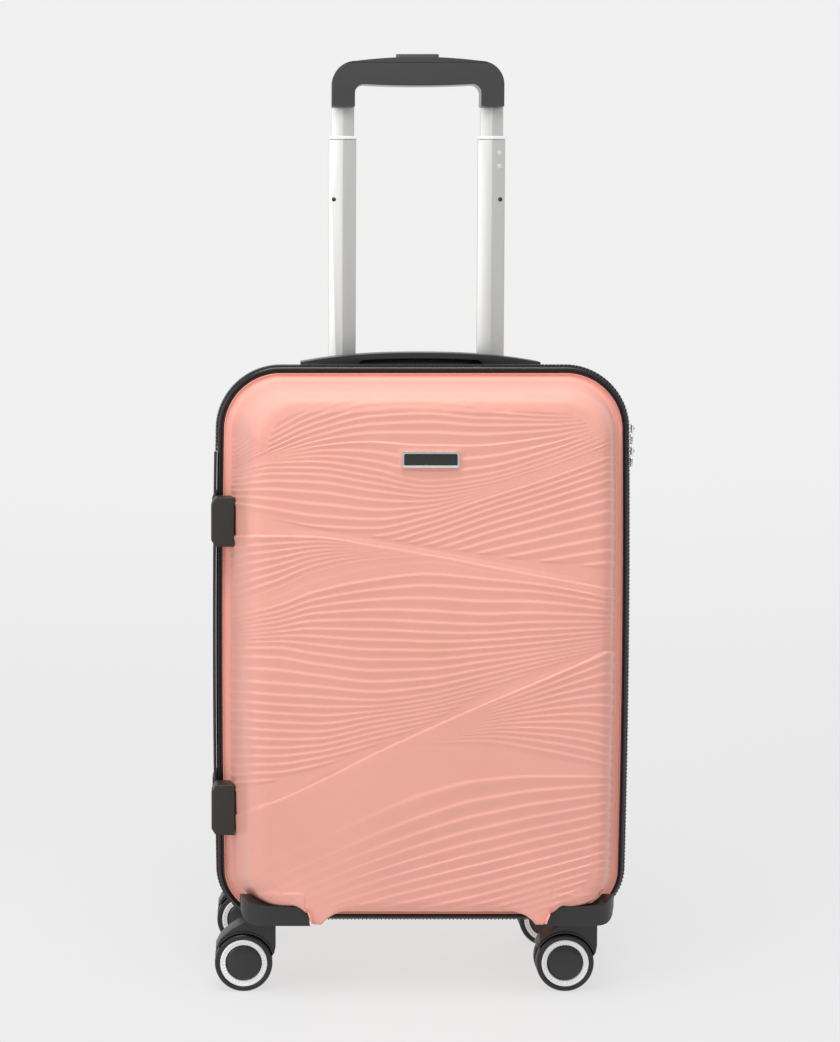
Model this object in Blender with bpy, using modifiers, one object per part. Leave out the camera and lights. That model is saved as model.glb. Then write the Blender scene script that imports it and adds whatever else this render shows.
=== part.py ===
"""A hard shell cabin suitcase with four twin-wheel casters and a two-stage pull handle.

Metres, +Z up, +Y to the back of the case, origin on the floor under its middle.
The case opens like a book at the plane y = 0, about an upright axis at its left side (-X).
"""

import math

import bmesh
import bpy
from mathutils import Matrix, Vector

GAP = 0.0003

# The seam's outline, seen from the front: the pink edge of both shells.
HALF_WIDTH = 0.1749
BULGE = 0.0026
EDGE_LOW = 0.0487
EDGE_HIGH = 0.5335
CORNER_HIGH = 0.049
CORNER_LOW = 0.040
EDGE_Y = 0.006
SHELL_WALL = 0.002
LINING_WALL = 0.0009
LINING_GAP = 0.0036

# Each shell's section: depth from its edge, then how far the sides, top and bottom have drawn in.
# The first two stations are the flange, and the third is the step behind it.
FRONT_SECTION = (
    (0.0000, 0.0000, 0.0000, 0.0000),
    (0.0035, 0.0000, 0.0000, 0.0000),
    (0.0060, 0.0058, 0.0050, 0.0058),
    (0.0240, 0.0092, 0.0062, 0.0115),
    (0.0500, 0.0142, 0.0078, 0.0195),
    (0.0760, 0.0196, 0.0098, 0.0285),
    (0.0830, 0.0222, 0.0118, 0.0320),
    (0.0880, 0.0262, 0.0155, 0.0370),
    (0.0913, 0.0315, 0.0208, 0.0430),
    (0.0925, 0.0390, 0.0280, 0.0510),
)
REAR_SECTION = (
    (0.0000, 0.0000, 0.0000, 0.0000),
    (0.0035, 0.0000, 0.0000, 0.0000),
    (0.0060, 0.0058, 0.0050, 0.0058),
    (0.0240, 0.0088, 0.0062, 0.0115),
    (0.0500, 0.0122, 0.0078, 0.0195),
    (0.0760, 0.0160, 0.0098, 0.0285),
    (0.0840, 0.0186, 0.0118, 0.0325),
    (0.0895, 0.0228, 0.0155, 0.0375),
    (0.0928, 0.0285, 0.0208, 0.0435),
    (0.0940, 0.0370, 0.0280, 0.0515),
)

# The trim, zip and hinge band round the seam.
PIPING_PROUD = 0.0056
ZIP_PROUD = 0.0076
SEAM_INNER = 0.0042
PIPING_FAR = EDGE_Y - GAP
PIPING_NEAR = 0.0025
ZIP_NEAR = 0.00015
HINGE_LOW = 0.158
HINGE_HIGH = 0.463
HINGE_HALF_DEPTH = 0.0095
HINGE_INNER = 0.0063
HINGE_OUTER = 0.0089

# Casters. Each trails towards -X.
CASTER_X = 0.1394
CASTER_Y = 0.0605
CASTER_TRAIL = 0.019
WHEEL_RADIUS = 0.025
WHEEL_NEAR = 0.0042
WHEEL_FAR = 0.0125
WHEEL_BORE = 0.0034
AXLE_RADIUS = 0.0030
WEB_HALF = 0.0035
FORK_REACH = 0.0267
FORK_OUT = 0.0278
FORK_TOP = 0.0628
HOOD_HALF = 0.0095
STEM_RADIUS = 0.0050
STEM_TOP = 0.0678

# Wheel housings, one on each bottom corner of both shells.
HOUSING_IN = 0.1015
HOUSING_OUT = 0.1615
HOUSING_NEAR = 0.0360
HOUSING_FAR = 0.0930
HOUSING_LOW = 0.0645
HOUSING_HIGH = 0.0870
HOUSING_CORNER = 0.0230
HOUSING_CREST = (0.0700, 0.0855)
HOUSING_FALL = 0.30
TONGUE = (0.0865, 0.1012)
TONGUE_LOW = 0.0640
TONGUE_WAIST = 0.0730
TONGUE_DEPTH = (0.0440, 0.0920)

# Pull handle.
TROLLEY_Y = 0.080
TUBE_X = 0.0682
TUBE_WALL = 0.0010
OUTER_TUBE = (0.0145, 0.0088)
MIDDLE_TUBE = (0.01245, 0.0070)
INNER_TUBE = (0.0105, 0.0052)
OUTER_TUBE_LOW = 0.1050
CUP_FLOOR = 0.4945
CUP_HIGH = 0.5240
CUP_HALF = (0.0905, 0.0165)
MIDDLE_LOW = 0.3525
MIDDLE_HIGH = 0.7425
COLLAR_HIGH = 0.7457
INNER_LOW = 0.3830
GRIP_LOW = 0.7724
GRIP_UNDER = 0.7925
GRIP_SPLIT = 0.8120
GRIP_HIGH = 0.8172
GRIP_HALF = 0.0785
GRIP_LEG = 0.0210
GRIP_DEPTH = 0.0230
GRIP_CORNER = 0.0215
GRIP_ARCH = 0.0010
GRIP_FILLET = 0.0060
GRIP_CHANNEL_LOW = 0.7985
BUTTON_HALF = 0.0196
BUTTON_LOW = 0.8030
BUTTON_HIGH = 0.8203
ROD_RADIUS = 0.0018
ROD_LOW = 0.7000

# Carry handles: top handle centred at y, side handle centred at z.
CARRY_Y = 0.036
CARRY_HIGH = 0.5500
CARRY_HALF = 0.1075
CARRY_BASE = (0.5160, 0.5365)
SIDE_HANDLE_Z = 0.2900
SIDE_HANDLE_HALF = 0.0850
SIDE_HANDLE_X = 0.1870
SIDE_HANDLE_Y = 0.0370
SIDE_HANDLE_BASE = (0.1600, 0.1755)

BADGE = (-0.0005, 0.4664)
BADGE_HALF = (0.0244, 0.0068)
FRONT_Y = -0.1000
FEET = ((0.1267, 0.1717), (0.3829, 0.4262))
FOOT_OUT = 0.1870
FOOT_IN = 0.1650
FOOT_NEAR = 0.0150
FOOT_FAR = 0.0340

LOCK_Z = (0.4340, 0.4860)
DIAL_RADIUS = 0.0056
DIAL_HALF = 0.0028
DIAL_X = 0.1795
DIAL_Y = 0.0250
DIAL_Z = (0.4440, 0.4520, 0.4600)
SLIDER_Z = (0.4840, 0.4640)
TAB_LENGTH = 0.0090

STRAP_HALF = 0.2050
STRAP_Z = 0.2900

WHEEL_STEPS = 24

FINISH = {
    "pink_shell": ((0.72, 0.33, 0.26), 0.35, 0.0),
    "black_trim": ((0.020, 0.020, 0.021), 0.55, 0.0),
    "zip_tape": ((0.028, 0.026, 0.026), 0.85, 0.0),
    "lining": ((0.10, 0.10, 0.11), 0.90, 0.0),
    "black_moulding": ((0.022, 0.022, 0.023), 0.45, 0.0),
    "tube": ((0.66, 0.67, 0.66), 0.35, 1.0),
    "collar": ((0.80, 0.80, 0.78), 0.40, 0.0),
    "grip": ((0.055, 0.058, 0.058), 0.50, 0.0),
    "button": ((0.20, 0.20, 0.21), 0.35, 0.0),
    "chrome": ((0.80, 0.80, 0.82), 0.12, 1.0),
    "wheel": ((0.45, 0.45, 0.46), 0.50, 0.0),
    "webbing": ((0.05, 0.05, 0.055), 0.85, 0.0),
}


def clear_scene():
    for thing in list(bpy.data.objects):
        bpy.data.objects.remove(thing, do_unlink=True)


def make_materials():
    made = {}
    for name, (colour, roughness, metallic) in FINISH.items():
        material = bpy.data.materials.new(name)
        material.use_nodes = True
        shader = material.node_tree.nodes["Principled BSDF"]
        shader.inputs["Base Color"].default_value = (*colour, 1.0)
        shader.inputs["Roughness"].default_value = roughness
        shader.inputs["Metallic"].default_value = metallic
        made[name] = material
    return made


clear_scene()
MATERIALS = make_materials()
CASE = bpy.data.collections.new("hard_shell_suitcase")
CUTTERS = bpy.data.collections.new("cutters")
for group in (CASE, CUTTERS):
    bpy.context.scene.collection.children.link(group)
CUTTERS.hide_render = True


# Building blocks


def add_object(name, mesh, finish, origin=(0, 0, 0)):
    """A part with its origin at the given point and its mesh left where it is."""
    mesh.transform(Matrix.Translation(-Vector(origin)))
    part = bpy.data.objects.new(name, mesh)
    part.location = origin
    mesh.materials.append(MATERIALS[finish])
    CASE.objects.link(part)
    return part


def mesh_from(bm, name, smooth=False):
    bmesh.ops.recalc_face_normals(bm, faces=bm.faces)
    mesh = bpy.data.meshes.new(name)
    bm.to_mesh(mesh)
    bm.free()
    if smooth:
        mesh.shade_smooth()
        mesh.set_sharp_from_angle(angle=math.radians(35))
    return mesh


def box_mesh(name, low, high):
    """A box between two corners."""
    bm = bmesh.new()
    bmesh.ops.create_cube(bm, size=1.0)
    size = Vector(high) - Vector(low)
    bmesh.ops.scale(bm, vec=size, verts=bm.verts)
    bmesh.ops.translate(bm, vec=Vector(low) + size / 2, verts=bm.verts)
    return mesh_from(bm, name)


def rod_mesh(name, start, end, radius, segments=12):
    """A cylinder from one point to another."""
    bm = bmesh.new()
    along = Vector(end) - Vector(start)
    bmesh.ops.create_cone(
        bm, cap_ends=True, segments=segments, radius1=radius, radius2=radius, depth=along.length
    )
    turn = along.to_track_quat("Z", "Y").to_matrix().to_4x4()
    place = Matrix.Translation(Vector(start) + along / 2) @ turn
    bmesh.ops.transform(bm, matrix=place, verts=bm.verts)
    return mesh_from(bm, name, smooth=True)


def bevelled(part, width, segments=2, angle=40):
    edge = part.modifiers.new("rounded_edges", "BEVEL")
    edge.width = width
    edge.segments = segments
    edge.limit_method = "ANGLE"
    edge.angle_limit = math.radians(angle)
    return part


def applied(part):
    """Puts the object's modifiers into its mesh."""
    graph = bpy.context.evaluated_depsgraph_get()
    mesh = bpy.data.meshes.new_from_object(part.evaluated_get(graph))
    part.modifiers.clear()
    part.data = mesh
    return part


def cutter(mesh):
    tool = bpy.data.objects.new("cutter", mesh)
    tool.hide_render = True
    tool.display_type = "WIRE"
    CUTTERS.objects.link(tool)
    return tool


def combine(part, meshes, operation):
    """Cuts the meshes from the part, joins them to it or keeps what they share."""
    for mesh in meshes:
        step = part.modifiers.new("shape", "BOOLEAN")
        step.operation = operation
        step.solver = "EXACT"
        step.object = cutter(mesh)
    return part


def plate_mesh(name, outlines, half, place=Matrix()):
    """A flat outline, and any holes after it, filled and extruded by half each way."""
    curve = bpy.data.curves.new(name, "CURVE")
    curve.dimensions = "2D"
    curve.fill_mode = "BOTH"
    curve.extrude = half
    for outline in outlines:
        line = curve.splines.new("POLY")
        line.points.add(len(outline) - 1)
        for point, (x, y) in zip(line.points, outline):
            point.co = (x, y, 0.0, 1.0)
        line.use_cyclic_u = True
    guide = bpy.data.objects.new(name, curve)
    CUTTERS.objects.link(guide)
    graph = bpy.context.evaluated_depsgraph_get()
    mesh = bpy.data.meshes.new_from_object(guide.evaluated_get(graph))
    bpy.data.objects.remove(guide, do_unlink=True)
    bm = bmesh.new()
    bm.from_mesh(mesh)
    bmesh.ops.remove_doubles(bm, verts=bm.verts, dist=0.00001)
    bmesh.ops.transform(bm, matrix=place, verts=bm.verts)
    return mesh_from(bm, name)


def facing_front(y):
    """Puts a flat outline's x and y at x and z, with its middle at this y."""
    return Matrix.Translation((0, y, 0)) @ Matrix.Rotation(math.radians(90), 4, "X")


def turned(name, profile, steps, finish, axis, origin):
    """A ring or disc: (radius, along) points down its outer side, turned about an axis through origin."""
    mesh = bpy.data.meshes.new(name)
    points = [(radius, 0, along) for radius, along in profile]
    mesh.from_pydata(points, [(i, i + 1) for i in range(len(points) - 1)], [])
    part = bpy.data.objects.new(name, mesh)
    mesh.materials.append(MATERIALS[finish])
    CASE.objects.link(part)
    spin = part.modifiers.new("turned", "SCREW")
    spin.axis = "Z"
    spin.steps = steps
    spin.render_steps = steps
    spin.use_merge_vertices = True
    spin.merge_threshold = 0.00005
    applied(part)
    turn = Vector(axis).to_track_quat("Z", "Y").to_matrix().to_4x4()
    part.data.transform(turn)
    part.data.shade_smooth()
    part.data.set_sharp_from_angle(angle=math.radians(35))
    part.location = origin
    return part


# The seam's outline and the shells


def arc(cx, cz, radius, start, count):
    return [
        (
            cx + radius * math.cos(math.radians(start + 90 * i / count)),
            cz + radius * math.sin(math.radians(start + 90 * i / count)),
        )
        for i in range(count + 1)
    ]


def outline(side, top, bottom, corner=6, straight=5):
    """The seam's outline drawn in by these amounts, anticlockwise from the front, starting low left."""
    half = HALF_WIDTH - side
    low, high = EDGE_LOW + bottom, EDGE_HIGH - top
    draw = max(side, 0.0)
    r_low, r_high = CORNER_LOW - side + 0.5 * draw, CORNER_HIGH - side + 0.5 * draw
    upright = [
        low + r_low + (high - r_high - low - r_low) * i / straight for i in range(1, straight)
    ]
    points = arc(half - r_low, low + r_low, r_low, -90, corner)
    points += [(half, z) for z in upright]
    points += arc(half - r_high, high - r_high, r_high, 0, corner)
    points += [(0.0, high)]
    points += arc(-half + r_high, high - r_high, r_high, 90, corner)
    points += [(-half, z) for z in reversed(upright)]
    points += arc(-half + r_low, low + r_low, r_low, 180, corner)
    points += [(0.0, low)]
    middle, reach = (low + high) / 2, (high - low) / 2
    return [(x * (1 + BULGE / HALF_WIDTH * (1 - ((z - middle) / reach) ** 2)), z) for x, z in points]


def loft(name, rings, close_first=False, close_last=True):
    """A skin through rings of equal numbers of points, given as (y, outline)."""
    bm = bmesh.new()
    rows = [[bm.verts.new((x, y, z)) for x, z in ring] for y, ring in rings]
    count = len(rows[0])
    for near, far in zip(rows, rows[1:]):
        for i in range(count):
            j = (i + 1) % count
            bm.faces.new((near[i], near[j], far[j], far[i]))
    if close_first:
        bm.faces.new(rows[0])
    if close_last:
        bm.faces.new(rows[-1])
    return mesh_from(bm, name, smooth=True)


def shell_rings(section, facing, grow=0.0, depth=0.0):
    """Rings of one shell. grow moves them out, depth moves the end of the shell out."""
    last = section[-1][0]
    return [
        (
            facing * (EDGE_Y + t + depth * t / last),
            outline(side - grow, top - grow, bottom - grow),
        )
        for t, side, top, bottom in section
    ]


def hollow(part, wall):
    """Gives an open skin its wall, on the inside."""
    bm = bmesh.new()
    bm.from_mesh(part.data)
    middle = Vector((0, 0.045 * (1 if sum(v.co.y for v in bm.verts) > 0 else -1), 0.29))
    outward = sum((f.normal.dot(f.calc_center_median() - middle) * f.calc_area() for f in bm.faces))
    if outward < 0:
        bmesh.ops.reverse_faces(bm, faces=bm.faces)
    bm.to_mesh(part.data)
    bm.free()
    skin = part.modifiers.new("wall", "SOLIDIFY")
    skin.thickness = wall
    skin.offset = -1
    skin.use_even_offset = True
    return part


def shell(name, section, facing):
    """One moulded shell, with a tongue on its underside beside each wheel housing."""
    part = hollow(add_object(name, loft(name, shell_rings(section, facing)), "pink_shell"), SHELL_WALL)
    combine(part, [tongue(side, section, facing) for side in (-1, 1)], "UNION")
    return part


def tongue(side, section, facing):
    """A tapered rib that reaches from just inside the shell's wall down to the housing's underside."""
    inner, outer = TONGUE
    taper, high = 0.0040, 0.0900
    shape = [(inner + taper, TONGUE_LOW), (outer - taper * 0.3, TONGUE_LOW), (outer, TONGUE_WAIST)]
    shape += [(outer, high), (inner - 0.0050, high), (inner - 0.0010, TONGUE_WAIST)]
    near, far = TONGUE_DEPTH
    half = (far - near) / 2
    place = facing_front(facing * (near + half))
    mesh = plate_mesh("tongue", [[(side * x, z) for x, z in shape]], half, place)
    block = combine(cutter(mesh), [shell_block(section, facing, -0.0010)], "DIFFERENCE")
    return applied(block).data


def shell_block(section, facing, grow):
    """A solid a little larger than the shell, for cutting what lies against it."""
    rings = shell_rings(section, facing, grow, grow)
    first = facing * (EDGE_Y - 0.004)
    rings.insert(0, (first, rings[0][1]))
    return loft("shell_block", rings, close_first=True)


def drawn_in(section, depth):
    """How far a shell's sides, top and bottom have drawn in at a depth from its edge."""
    for near, far in zip(section, section[1:]):
        if near[0] <= depth <= far[0]:
            share = (depth - near[0]) / (far[0] - near[0])
            return [a + share * (b - a) for a, b in zip(near[1:], far[1:])]
    return section[-1][1:]


def lining(name, section, facing, back):
    """A thin tray inside the shell, with a flat back at this depth."""
    rings = [(facing * (EDGE_Y + 0.001), outline(0.0100, 0.0100, 0.0100, straight=3))]
    count = 4
    for i in range(1, count + 1):
        y = 0.012 + (back - 0.012) * i / count
        inset = [amount + LINING_GAP for amount in drawn_in(section, y - EDGE_Y + 0.003)]
        rings.append((facing * y, outline(*inset, straight=3)))
    return hollow(add_object(name, loft(name, rings), "lining"), LINING_WALL)


def open_outline(grow, low_cut, high_cut):
    """The seam's outline moved out, without the left side between two heights: from the lower cut round."""
    points = outline(-grow, -grow, -grow)
    middle, reach = (EDGE_LOW + EDGE_HIGH) / 2, (EDGE_HIGH - EDGE_LOW) / 2 + grow
    ends = []
    for z in (low_cut, high_cut):
        bulge = 1 + BULGE / HALF_WIDTH * (1 - ((z - middle) / reach) ** 2)
        ends.append((-(HALF_WIDTH + grow) * bulge, z))
    kept = [(x, z) for x, z in points if x > -0.15 or not low_cut - 0.01 < z < high_cut + 0.01]
    start = max(i for i, (x, z) in enumerate(kept) if x < 0 and z > high_cut) + 1
    return [ends[0], *kept[start:], *kept[:start], ends[1]]


def seam_ring(name, near, far, inner, outer, facing, finish, cuts=None):
    """A flat ring along the seam, between two depths and two insets, open between any cuts on the left."""
    half = (far - near) / 2
    if cuts:
        rings = [open_outline(outer, *cuts) + open_outline(-inner, *cuts)[::-1]]
    else:
        rings = [outline(-outer, -outer, -outer), outline(inner, inner, inner)]
    return add_object(name, plate_mesh(name, rings, half, facing_front(facing * (near + half))), finish)


def build_half(prefix, section, facing):
    """One half's shell, piping, zip tape and lining."""
    body = shell(prefix + "_shell", section, facing)
    seam_ring(
        prefix + "_rim_trim", PIPING_NEAR, PIPING_FAR, SEAM_INNER, PIPING_PROUD, facing, "black_trim"
    )
    cuts = (HINGE_LOW - 0.003, HINGE_HIGH + 0.003)
    name, far = prefix + "_zip_tape", PIPING_NEAR - GAP
    seam_ring(name, ZIP_NEAR, far, SEAM_INNER, ZIP_PROUD, facing, "zip_tape", cuts)
    return body


def build_hinge_band():
    """The fabric hinge down the left side, outside both pipings."""
    rings = [outline(-HINGE_OUTER, 0, 0), outline(-HINGE_INNER, 0, 0)]
    band = add_object(
        "hinge_band", plate_mesh("hinge_band", rings, HINGE_HALF_DEPTH, facing_front(0)), "zip_tape"
    )
    keep = box_mesh("keep", (-0.2, -0.02, HINGE_LOW), (-0.15, 0.02, HINGE_HIGH))
    combine(band, [keep], "INTERSECT")


# Feet, badge and straps


def build_foot(name, low, high, section, facing):
    """A block on the left side of a shell, sloped at its ends and cut to sit on the wall."""
    slope = 0.006
    shape = [
        (-FOOT_IN, low),
        (-FOOT_IN, high),
        (-FOOT_OUT + slope * 0.6, high),
        (-FOOT_OUT, high - slope),
        (-FOOT_OUT, low + slope),
        (-FOOT_OUT + slope * 0.6, low),
    ]
    half = (FOOT_FAR - FOOT_NEAR) / 2
    mesh = plate_mesh(name, [shape], half, facing_front(facing * (FOOT_NEAR + half)))
    foot = bevelled(add_object(name, mesh, "black_moulding"), 0.0015)
    combine(foot, [shell_block(section, facing, GAP)], "DIFFERENCE")


def rounded_outline(half_x, half_z, radius, count=4, centre=(0, 0)):
    corners = ((1, 1, 0), (-1, 1, 90), (-1, -1, 180), (1, -1, 270))
    points = []
    for sx, sz, start in corners:
        cx = centre[0] + sx * (half_x - radius)
        cz = centre[1] + sz * (half_z - radius)
        points += arc(cx, cz, radius, start, count)
    return points


def build_badge():
    """A plate in a frame on the front, near the top."""
    face = -EDGE_Y - FRONT_SECTION[-1][0] - GAP
    half_x, half_z = BADGE_HALF
    ring = [
        rounded_outline(half_x, half_z, 0.0022, centre=BADGE),
        rounded_outline(half_x - 0.0016, half_z - 0.0016, 0.0012, centre=BADGE),
    ]
    depth = (face - FRONT_Y) / 2
    place = facing_front(face - depth)
    add_object("badge_frame", plate_mesh("badge_frame", ring, depth, place), "chrome")
    plate = [rounded_outline(half_x - 0.0019, half_z - 0.0019, 0.0010, centre=BADGE)]
    depth -= 0.0003
    place = facing_front(face - depth)
    add_object("badge_plate", plate_mesh("badge_plate", plate, depth, place), "black_moulding")


def build_inside():
    lining("front_lining", FRONT_SECTION, -1, 0.0880)
    lining("rear_lining", REAR_SECTION, 1, 0.0620)
    ring = outline(0.0150, 0.0150, 0.0150, straight=2)
    place = facing_front(-0.0135)
    add_object("divider_panel", plate_mesh("divider_panel", [ring], 0.0010, place), "lining")
    for name, slant, y in (("cross_strap_a", 1, 0.0125), ("cross_strap_b", -1, 0.0155)):
        strap = box_mesh(name, (-0.0125, -0.0007, -STRAP_HALF), (0.0125, 0.0007, STRAP_HALF))
        lean = Matrix.Rotation(math.radians(34 * slant), 4, "Y")
        strap.transform(Matrix.Translation((0, y, STRAP_Z)) @ lean)
        add_object(name, strap, "webbing")


# Casters and housings


def housing_outline():
    """A right-hand housing seen from the front: rounded low at the outer side, high at the inner."""
    low, high, inner, outer = HOUSING_LOW, HOUSING_HIGH, HOUSING_IN, HOUSING_OUT
    shelf = high - 0.0058
    points = [(inner, low)]
    points += [(outer - 0.0115 + 0.0115 * s, low + 0.0115 * (1 - c)) for s, c in quarter_turn(5)]
    points += [(outer, high), (outer - 0.011, shelf + 0.0012), (inner + 0.012, shelf)]
    points += [(inner + 0.0120 - 0.0100 * s, shelf - 0.0110 * (1 - c)) for s, c in quarter_turn(4)[1:]]
    return points


def quarter_turn(count):
    return [
        (math.sin(math.radians(90 * i / count)), math.cos(math.radians(90 * i / count)))
        for i in range(count + 1)
    ]


def housing_corner(side, facing):
    """What the round outer corner of a housing, seen from above, leaves out of its square block."""
    inner, near = HOUSING_OUT - HOUSING_CORNER, HOUSING_FAR - HOUSING_CORNER
    clear = 0.01
    points = [(HOUSING_OUT + clear, near), (HOUSING_OUT + clear, HOUSING_FAR + clear), (inner, HOUSING_FAR + clear)]
    points += [(inner + HOUSING_CORNER * s, near + HOUSING_CORNER * c) for s, c in quarter_turn(8)]
    shape = [(side * x, facing * y) for x, y in points[:-1]]
    return plate_mesh("corner", [shape], 0.03, Matrix.Translation((0, 0, HOUSING_HIGH)))


def housing_wedge(side, facing):
    """What the sloping top of a housing's outer wall, lower towards the seam, leaves out of its block."""
    points = []
    near, far = HOUSING_NEAR - 0.01, HOUSING_FAR + 0.01
    for y, rise in ((near, 0), (far, 0), (far, 0.03), (near, 0.03)):
        points.append((facing * y, HOUSING_CREST[1] + HOUSING_FALL * (y - HOUSING_CREST[0]) + rise))
    across = side * (HOUSING_IN + HOUSING_OUT) / 2
    place = Matrix(((0, 0, 1, across), (1, 0, 0, 0), (0, 1, 0, 0), (0, 0, 0, 1)))
    return plate_mesh("wedge", [points], HOUSING_OUT - HOUSING_IN, place)


def build_housing(name, side, section, facing):
    """A moulding under a bottom corner, cut to the shell above it and bored for the caster's stem."""
    half = (HOUSING_FAR - HOUSING_NEAR) / 2
    shape = [(side * x, z) for x, z in housing_outline()]
    mesh = plate_mesh(name, [shape], half, facing_front(facing * (HOUSING_NEAR + half)))
    tools = [housing_corner(side, facing), housing_wedge(side, facing)]
    housing = combine(add_object(name, mesh, "black_moulding"), tools, "DIFFERENCE")
    bevelled(housing, 0.0026, 2, 50)
    centre = Vector((side * CASTER_X, facing * CASTER_Y, 0))
    start, end = (centre + Vector((0, 0, z)) for z in (HOUSING_LOW - 0.01, HOUSING_HIGH + 0.01))
    bore = rod_mesh("bore", start, end, STEM_RADIUS + 0.0004, 16)
    combine(housing, [shell_block(section, facing, GAP), bore], "DIFFERENCE")


def web_outline():
    """The web between the twin wheels, seen from the front with the wheel's centre at (0, radius)."""
    points = [polar(0.0270, angle) for angle in range(150, 19, -13)]
    points += [(FORK_OUT, 0.0380), (0.0240, 0.0290), (0.0150, 0.0180)]
    return points + [polar(0.0095, angle) for angle in range(-35, -146, -22)]


def hood_outline():
    """The fork's upper block: an arc over the wheels, rising to a flat top round the swivel."""
    outer = [(-0.0208, 0.0415), (-0.0180, 0.0478), (-0.0125, 0.0536), (-0.0060, 0.0580), (0.0010, 0.0612)]
    outer += [(0.0070, FORK_TOP), (FORK_OUT - 0.0015, FORK_TOP), (FORK_OUT, FORK_TOP - 0.0020)]
    outer += [(FORK_OUT, 0.0400), (FORK_OUT - 0.0018, 0.0345)]
    return outer + [polar(FORK_REACH, angle) for angle in range(20, 142, 12)]


def polar(radius, degrees):
    angle = math.radians(degrees)
    return radius * math.cos(angle), WHEEL_RADIUS + radius * math.sin(angle)


def build_caster(name, side, facing):
    """A fork that swivels in its housing and two wheels on the fork's axle."""
    swivel = Vector((side * CASTER_X, facing * CASTER_Y, 0))
    hub = swivel + Vector((-CASTER_TRAIL, 0, WHEEL_RADIUS))
    place = Matrix.Translation((-CASTER_TRAIL, 0, 0)) @ facing_front(0)
    web = plate_mesh(name + "_fork", [web_outline()], WEB_HALF, place)
    fork = bpy.data.objects.new(name + "_fork", web)
    web.materials.append(MATERIALS["black_moulding"])
    fork.location = swivel
    CASE.objects.link(fork)
    reach = WHEEL_FAR - 0.0015
    axle = rod_mesh("axle", (-CASTER_TRAIL, -reach, hub.z), (-CASTER_TRAIL, reach, hub.z), AXLE_RADIUS, 12)
    stem = rod_mesh("stem", (0, 0, 0.0560), (0, 0, STEM_TOP), STEM_RADIUS)
    hood = plate_mesh("hood", [hood_outline()], HOOD_HALF, place)
    for mesh in (hood, axle, stem):
        tool = cutter(mesh)
        tool.location = swivel
        step = fork.modifiers.new("joined", "BOOLEAN")
        step.operation = "UNION"
        step.solver = "EXACT"
        step.object = tool
    for word, way in (("outer", facing), ("inner", -facing)):
        build_wheel(f"{name}_wheel_{word}", hub, way)


def build_wheel(name, hub, way):
    """A wheel disc on the axle: way is +1 for the one towards +Y. Its cap closes the bore."""
    far, near, radius = WHEEL_FAR, WHEEL_NEAR, WHEEL_RADIUS
    profile = [
        (0.0, far - 0.0004),
        (0.0150, far - 0.0012),
        (0.0205, far),
        (radius - 0.0016, far),
        (radius, far - 0.0020),
        (radius, near + 0.0016),
        (radius - 0.0016, near),
        (WHEEL_BORE, near),
        (WHEEL_BORE, far - 0.0012),
        (0.0, far - 0.0012),
    ]
    turned(name, profile, WHEEL_STEPS, "wheel", (0, way, 0), hub)


# Pull handle


def tube_outline(size, grow=0.0):
    """A flattened tube with a ridge down its front and back."""
    half, ridge = size[0] + grow, size[1] + grow
    side = 0.36 * ridge
    return [(-half, -side), (0, -ridge), (half, -side), (half, side), (0, ridge), (-half, side)]


def tube_mesh(name, size, x, low, high, hole=None):
    inner = tube_outline(size, -TUBE_WALL) if hole is None else hole
    half = (high - low) / 2
    place = Matrix.Translation((x, TROLLEY_Y, low + half))
    return plate_mesh(name, [tube_outline(size), inner], half, place)


def build_trolley():
    for word, x in (("left", -TUBE_X), ("right", TUBE_X)):
        outer = tube_mesh(f"outer_tube_{word}", OUTER_TUBE, x, OUTER_TUBE_LOW, CUP_FLOOR - 0.0023)
        add_object(f"outer_tube_{word}", outer, "tube")
        middle = tube_mesh(f"middle_tube_{word}", MIDDLE_TUBE, x, MIDDLE_LOW, MIDDLE_HIGH)
        add_object(f"middle_tube_{word}", middle, "tube")
        inner = tube_mesh(f"inner_tube_{word}", INNER_TUBE, x, INNER_LOW, GRIP_LOW - GAP)
        add_object(f"inner_tube_{word}", inner, "tube")
        size = (MIDDLE_TUBE[0] + 0.0006, MIDDLE_TUBE[1] + 0.0006)
        hole = tube_outline(INNER_TUBE, 0.0004)
        collar = tube_mesh("collar", size, x, MIDDLE_HIGH + GAP, COLLAR_HIGH, hole)
        add_object(f"tube_collar_{word}", collar, "collar")
    build_bracket()
    build_cup()
    build_grip()


def build_bracket():
    """The bracket under the outer tubes, with a socket for each."""
    low, high = OUTER_TUBE_LOW - 0.004, OUTER_TUBE_LOW + 0.014
    half_y = OUTER_TUBE[1] + 0.0025
    bar = box_mesh(
        "trolley_bracket",
        (-TUBE_X - 0.019, TROLLEY_Y - half_y, low),
        (TUBE_X + 0.019, TROLLEY_Y + half_y - 0.0032, high),
    )
    bracket = bevelled(add_object("trolley_bracket", bar, "black_moulding"), 0.0015, 1)
    sockets = []
    for x in (-TUBE_X, TUBE_X):
        place = Matrix.Translation((x, TROLLEY_Y, high))
        half = high - OUTER_TUBE_LOW + GAP
        sockets.append(plate_mesh("socket", [tube_outline(OUTER_TUBE, GAP)], half, place))
    combine(bracket, sockets, "DIFFERENCE")


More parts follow.
